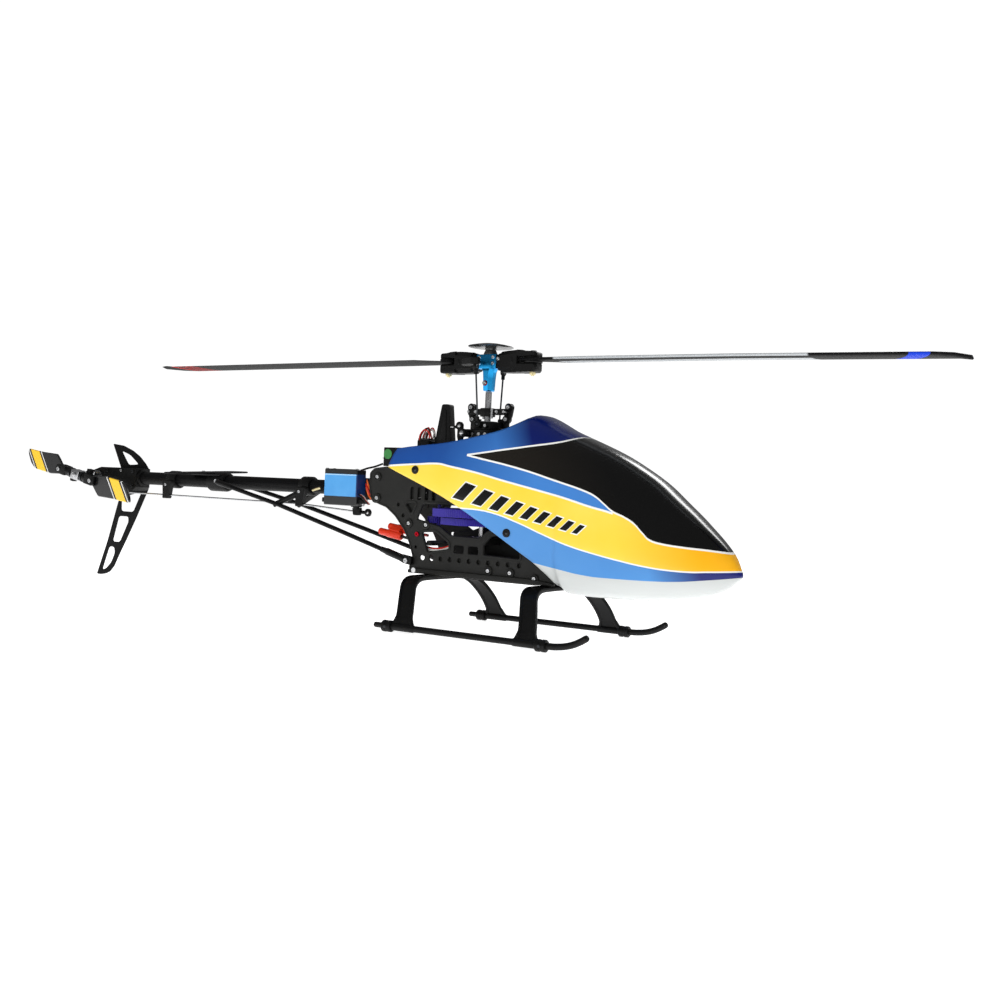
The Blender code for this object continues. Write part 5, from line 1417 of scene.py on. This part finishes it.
def build_tail_control():
    case = plate("Y", softened(((-141, SERVO_Z[0]), (-106.5, SERVO_Z[0]), (-106.5, SERVO_Z[1]), (-141,
            SERVO_Z[1])), 1.2),
                 -25.5, -13.5, (), 0.6)
    ears = plate("Y", softened(((-145, 93.6), (-102.5, 93.6), (-102.5, 97.4), (-145, 97.4)), 0.8), -23, -15,
                 (), 0.4)
    holder = softened(((-14, BOOM_Z - 9), (-14, BOOM_Z + 9), (8, BOOM_Z + 9), (9, BOOM_Z - 9)), 2.5)
    clamps = [(plate("X", holder, x - 4, x + 4, [circle(0, BOOM_Z, 6.3, 28)], 0.6), 1) for x in (-133, -114)]
    piece("tail_servo_form", together((case, 0), (ears, 1), *clamps), [SERVO_PAINT, BLACK], "airframe",
          ["tail_servo"])
    parts = []
    for x in (-143.2, -104.2):
        parts.append((screw((x, -19, 93.7), (0, 0, -1), 1.5, 1.2), 0))
    parts.append((lathe(((0, 0), (0, 4.6), (1.0, 4.4), (1.0, 2.6), (3.4, 2.4), (3.4, 0)),
                        (-113, -16.6, SERVO_Z[0] + 0.1),
                        (0, 0, -1), 24), 1))
    for x, y in ((-139.4, -24), (-139.4, -15), (-108, -24), (-108, -15)):
        parts.append((screw((x, y, SERVO_Z[1] - 0.1), (0, 0, 1), 1.2, 0.6), 0))
    parts.append((tube(smooth_path([(-108, -20, SERVO_Z[1] - 1), (-102, -18.6, 122.6), (-96, -16, 124.4),
                                    (-90, -13.6, 127)], 6),
                       0.8, 8), 1))
    parts.append((tube([(-168, -8.6, 102.6), (-163, -9.4, 104), (-158.4, -9.6, 105)], [1.0, 1.1, 1.0], 10),
                  2))
    piece("servo_fittings", together(*parts), [SCREW, BLACK, BRASS], "airframe")
    parts = []
    for k, number in enumerate((0, 1, 2)):
        y = -20.6 - 1.1 * k
        route = smooth_path([(-106, y, 100.8), (-102.6, y, 99.4), (-100.2, y + 1.4, 96),
                             (-97.6, y + 2.4, 93.4)], 7)
        parts.append((tube(route, 0.6, 8), number))
    piece("servo_wires", together(*parts), [WIRE_WHITE, WIRE_RED, WIRE_BLACK], "airframe")
    high = box_mm("tail_servo_horn")[1]
    arm = softened(((-116, 84), (-109.6, 84), (-108.8, 90.4), (-117, 90.4)), 1.4)
    horn = together((plate("Y", arm, -17.6, -13.4, (), 0.6), 0),
                    (tube([(-111, -14.4, 86.6), (-105.6, -13.6, 86.6)], 1.2, 10), 0),
                    (lathe(((0, 0), (0, 2.4), (1.2, 2.2), (1.2, 0)), (-113, -16.5, high.z), (0, 0, 1), 16),
                     0))
    piece("tail_servo_horn_form", horn, BLACK, "tail_horn", ["tail_servo_horn"])
    head = (-104.6, -11.5, 86.6)
    route = [head, (-118, -11.2, 86.9), (-180, -9.5, 90.4), (-352, -9.5, 91.4), (-412, -9.5, 91.6)]
    parts = [(tube(route[1:], 0.8, 10), 1), (eye(head, (0, 1, 0), 3.2, 1.7, 2.8), 0),
             (ball(head, 1.8), 2), (tube([(-107.4, -11.5, 86.6), (-118, -11.2, 86.9)], 1.5, 12), 0),
             (tube([(-404, -9.5, 91.6), (-412.6, -9.5, 91.6)], 1.5, 12), 0)]
    piece("tail_pushrod_form", together(*parts), [BLACK, STEEL, SCREW], "tail_pushrod", ["tail_pushrod"])
    refined("tail_bellcrank", BLACK, 0.4)
    parts = [(screw((-422, -9, 92.6), (0, 0, 1), 1.7, 1.1), 0), (ball((-420.6, -16.4, 94.0), 1.7), 0)]
    piece("bellcrank_fittings", together(*parts), [SCREW], "tail_bellcrank")


BUTTON = moulded("button_grey", "2a2b2b", "3b3c3b", roughness=0.24, grain=0.00002, specular=0.5)
BLADE_FRONT = main_blade_paint("blade_front_paint", ((317.5, 6.5, "1a3fc8"),), (62, 253))
BLADE_REAR = main_blade_paint("blade_rear_paint",
                              ((303, 1.1, "c41a16"), (309, 1.1, "c41a16"), (316, 1.4, "c41a16"),
                                                   (326, 2.0, "c41a16")), None)

build_studio()
build_camera()
build_canopy()
build_frame()
build_electronics()
build_landing_gear()
build_rotor_core()
for grip_name, grip_sign, blade_paint in (("front", 1, BLADE_FRONT), ("rear", -1, BLADE_REAR)):
    build_grip(grip_name, grip_sign)
    build_main_blade(grip_name, grip_sign, blade_paint)
build_swashplate()
build_drive()
build_boom()
build_tail_case()
build_tail_rotor()
build_tail_control()
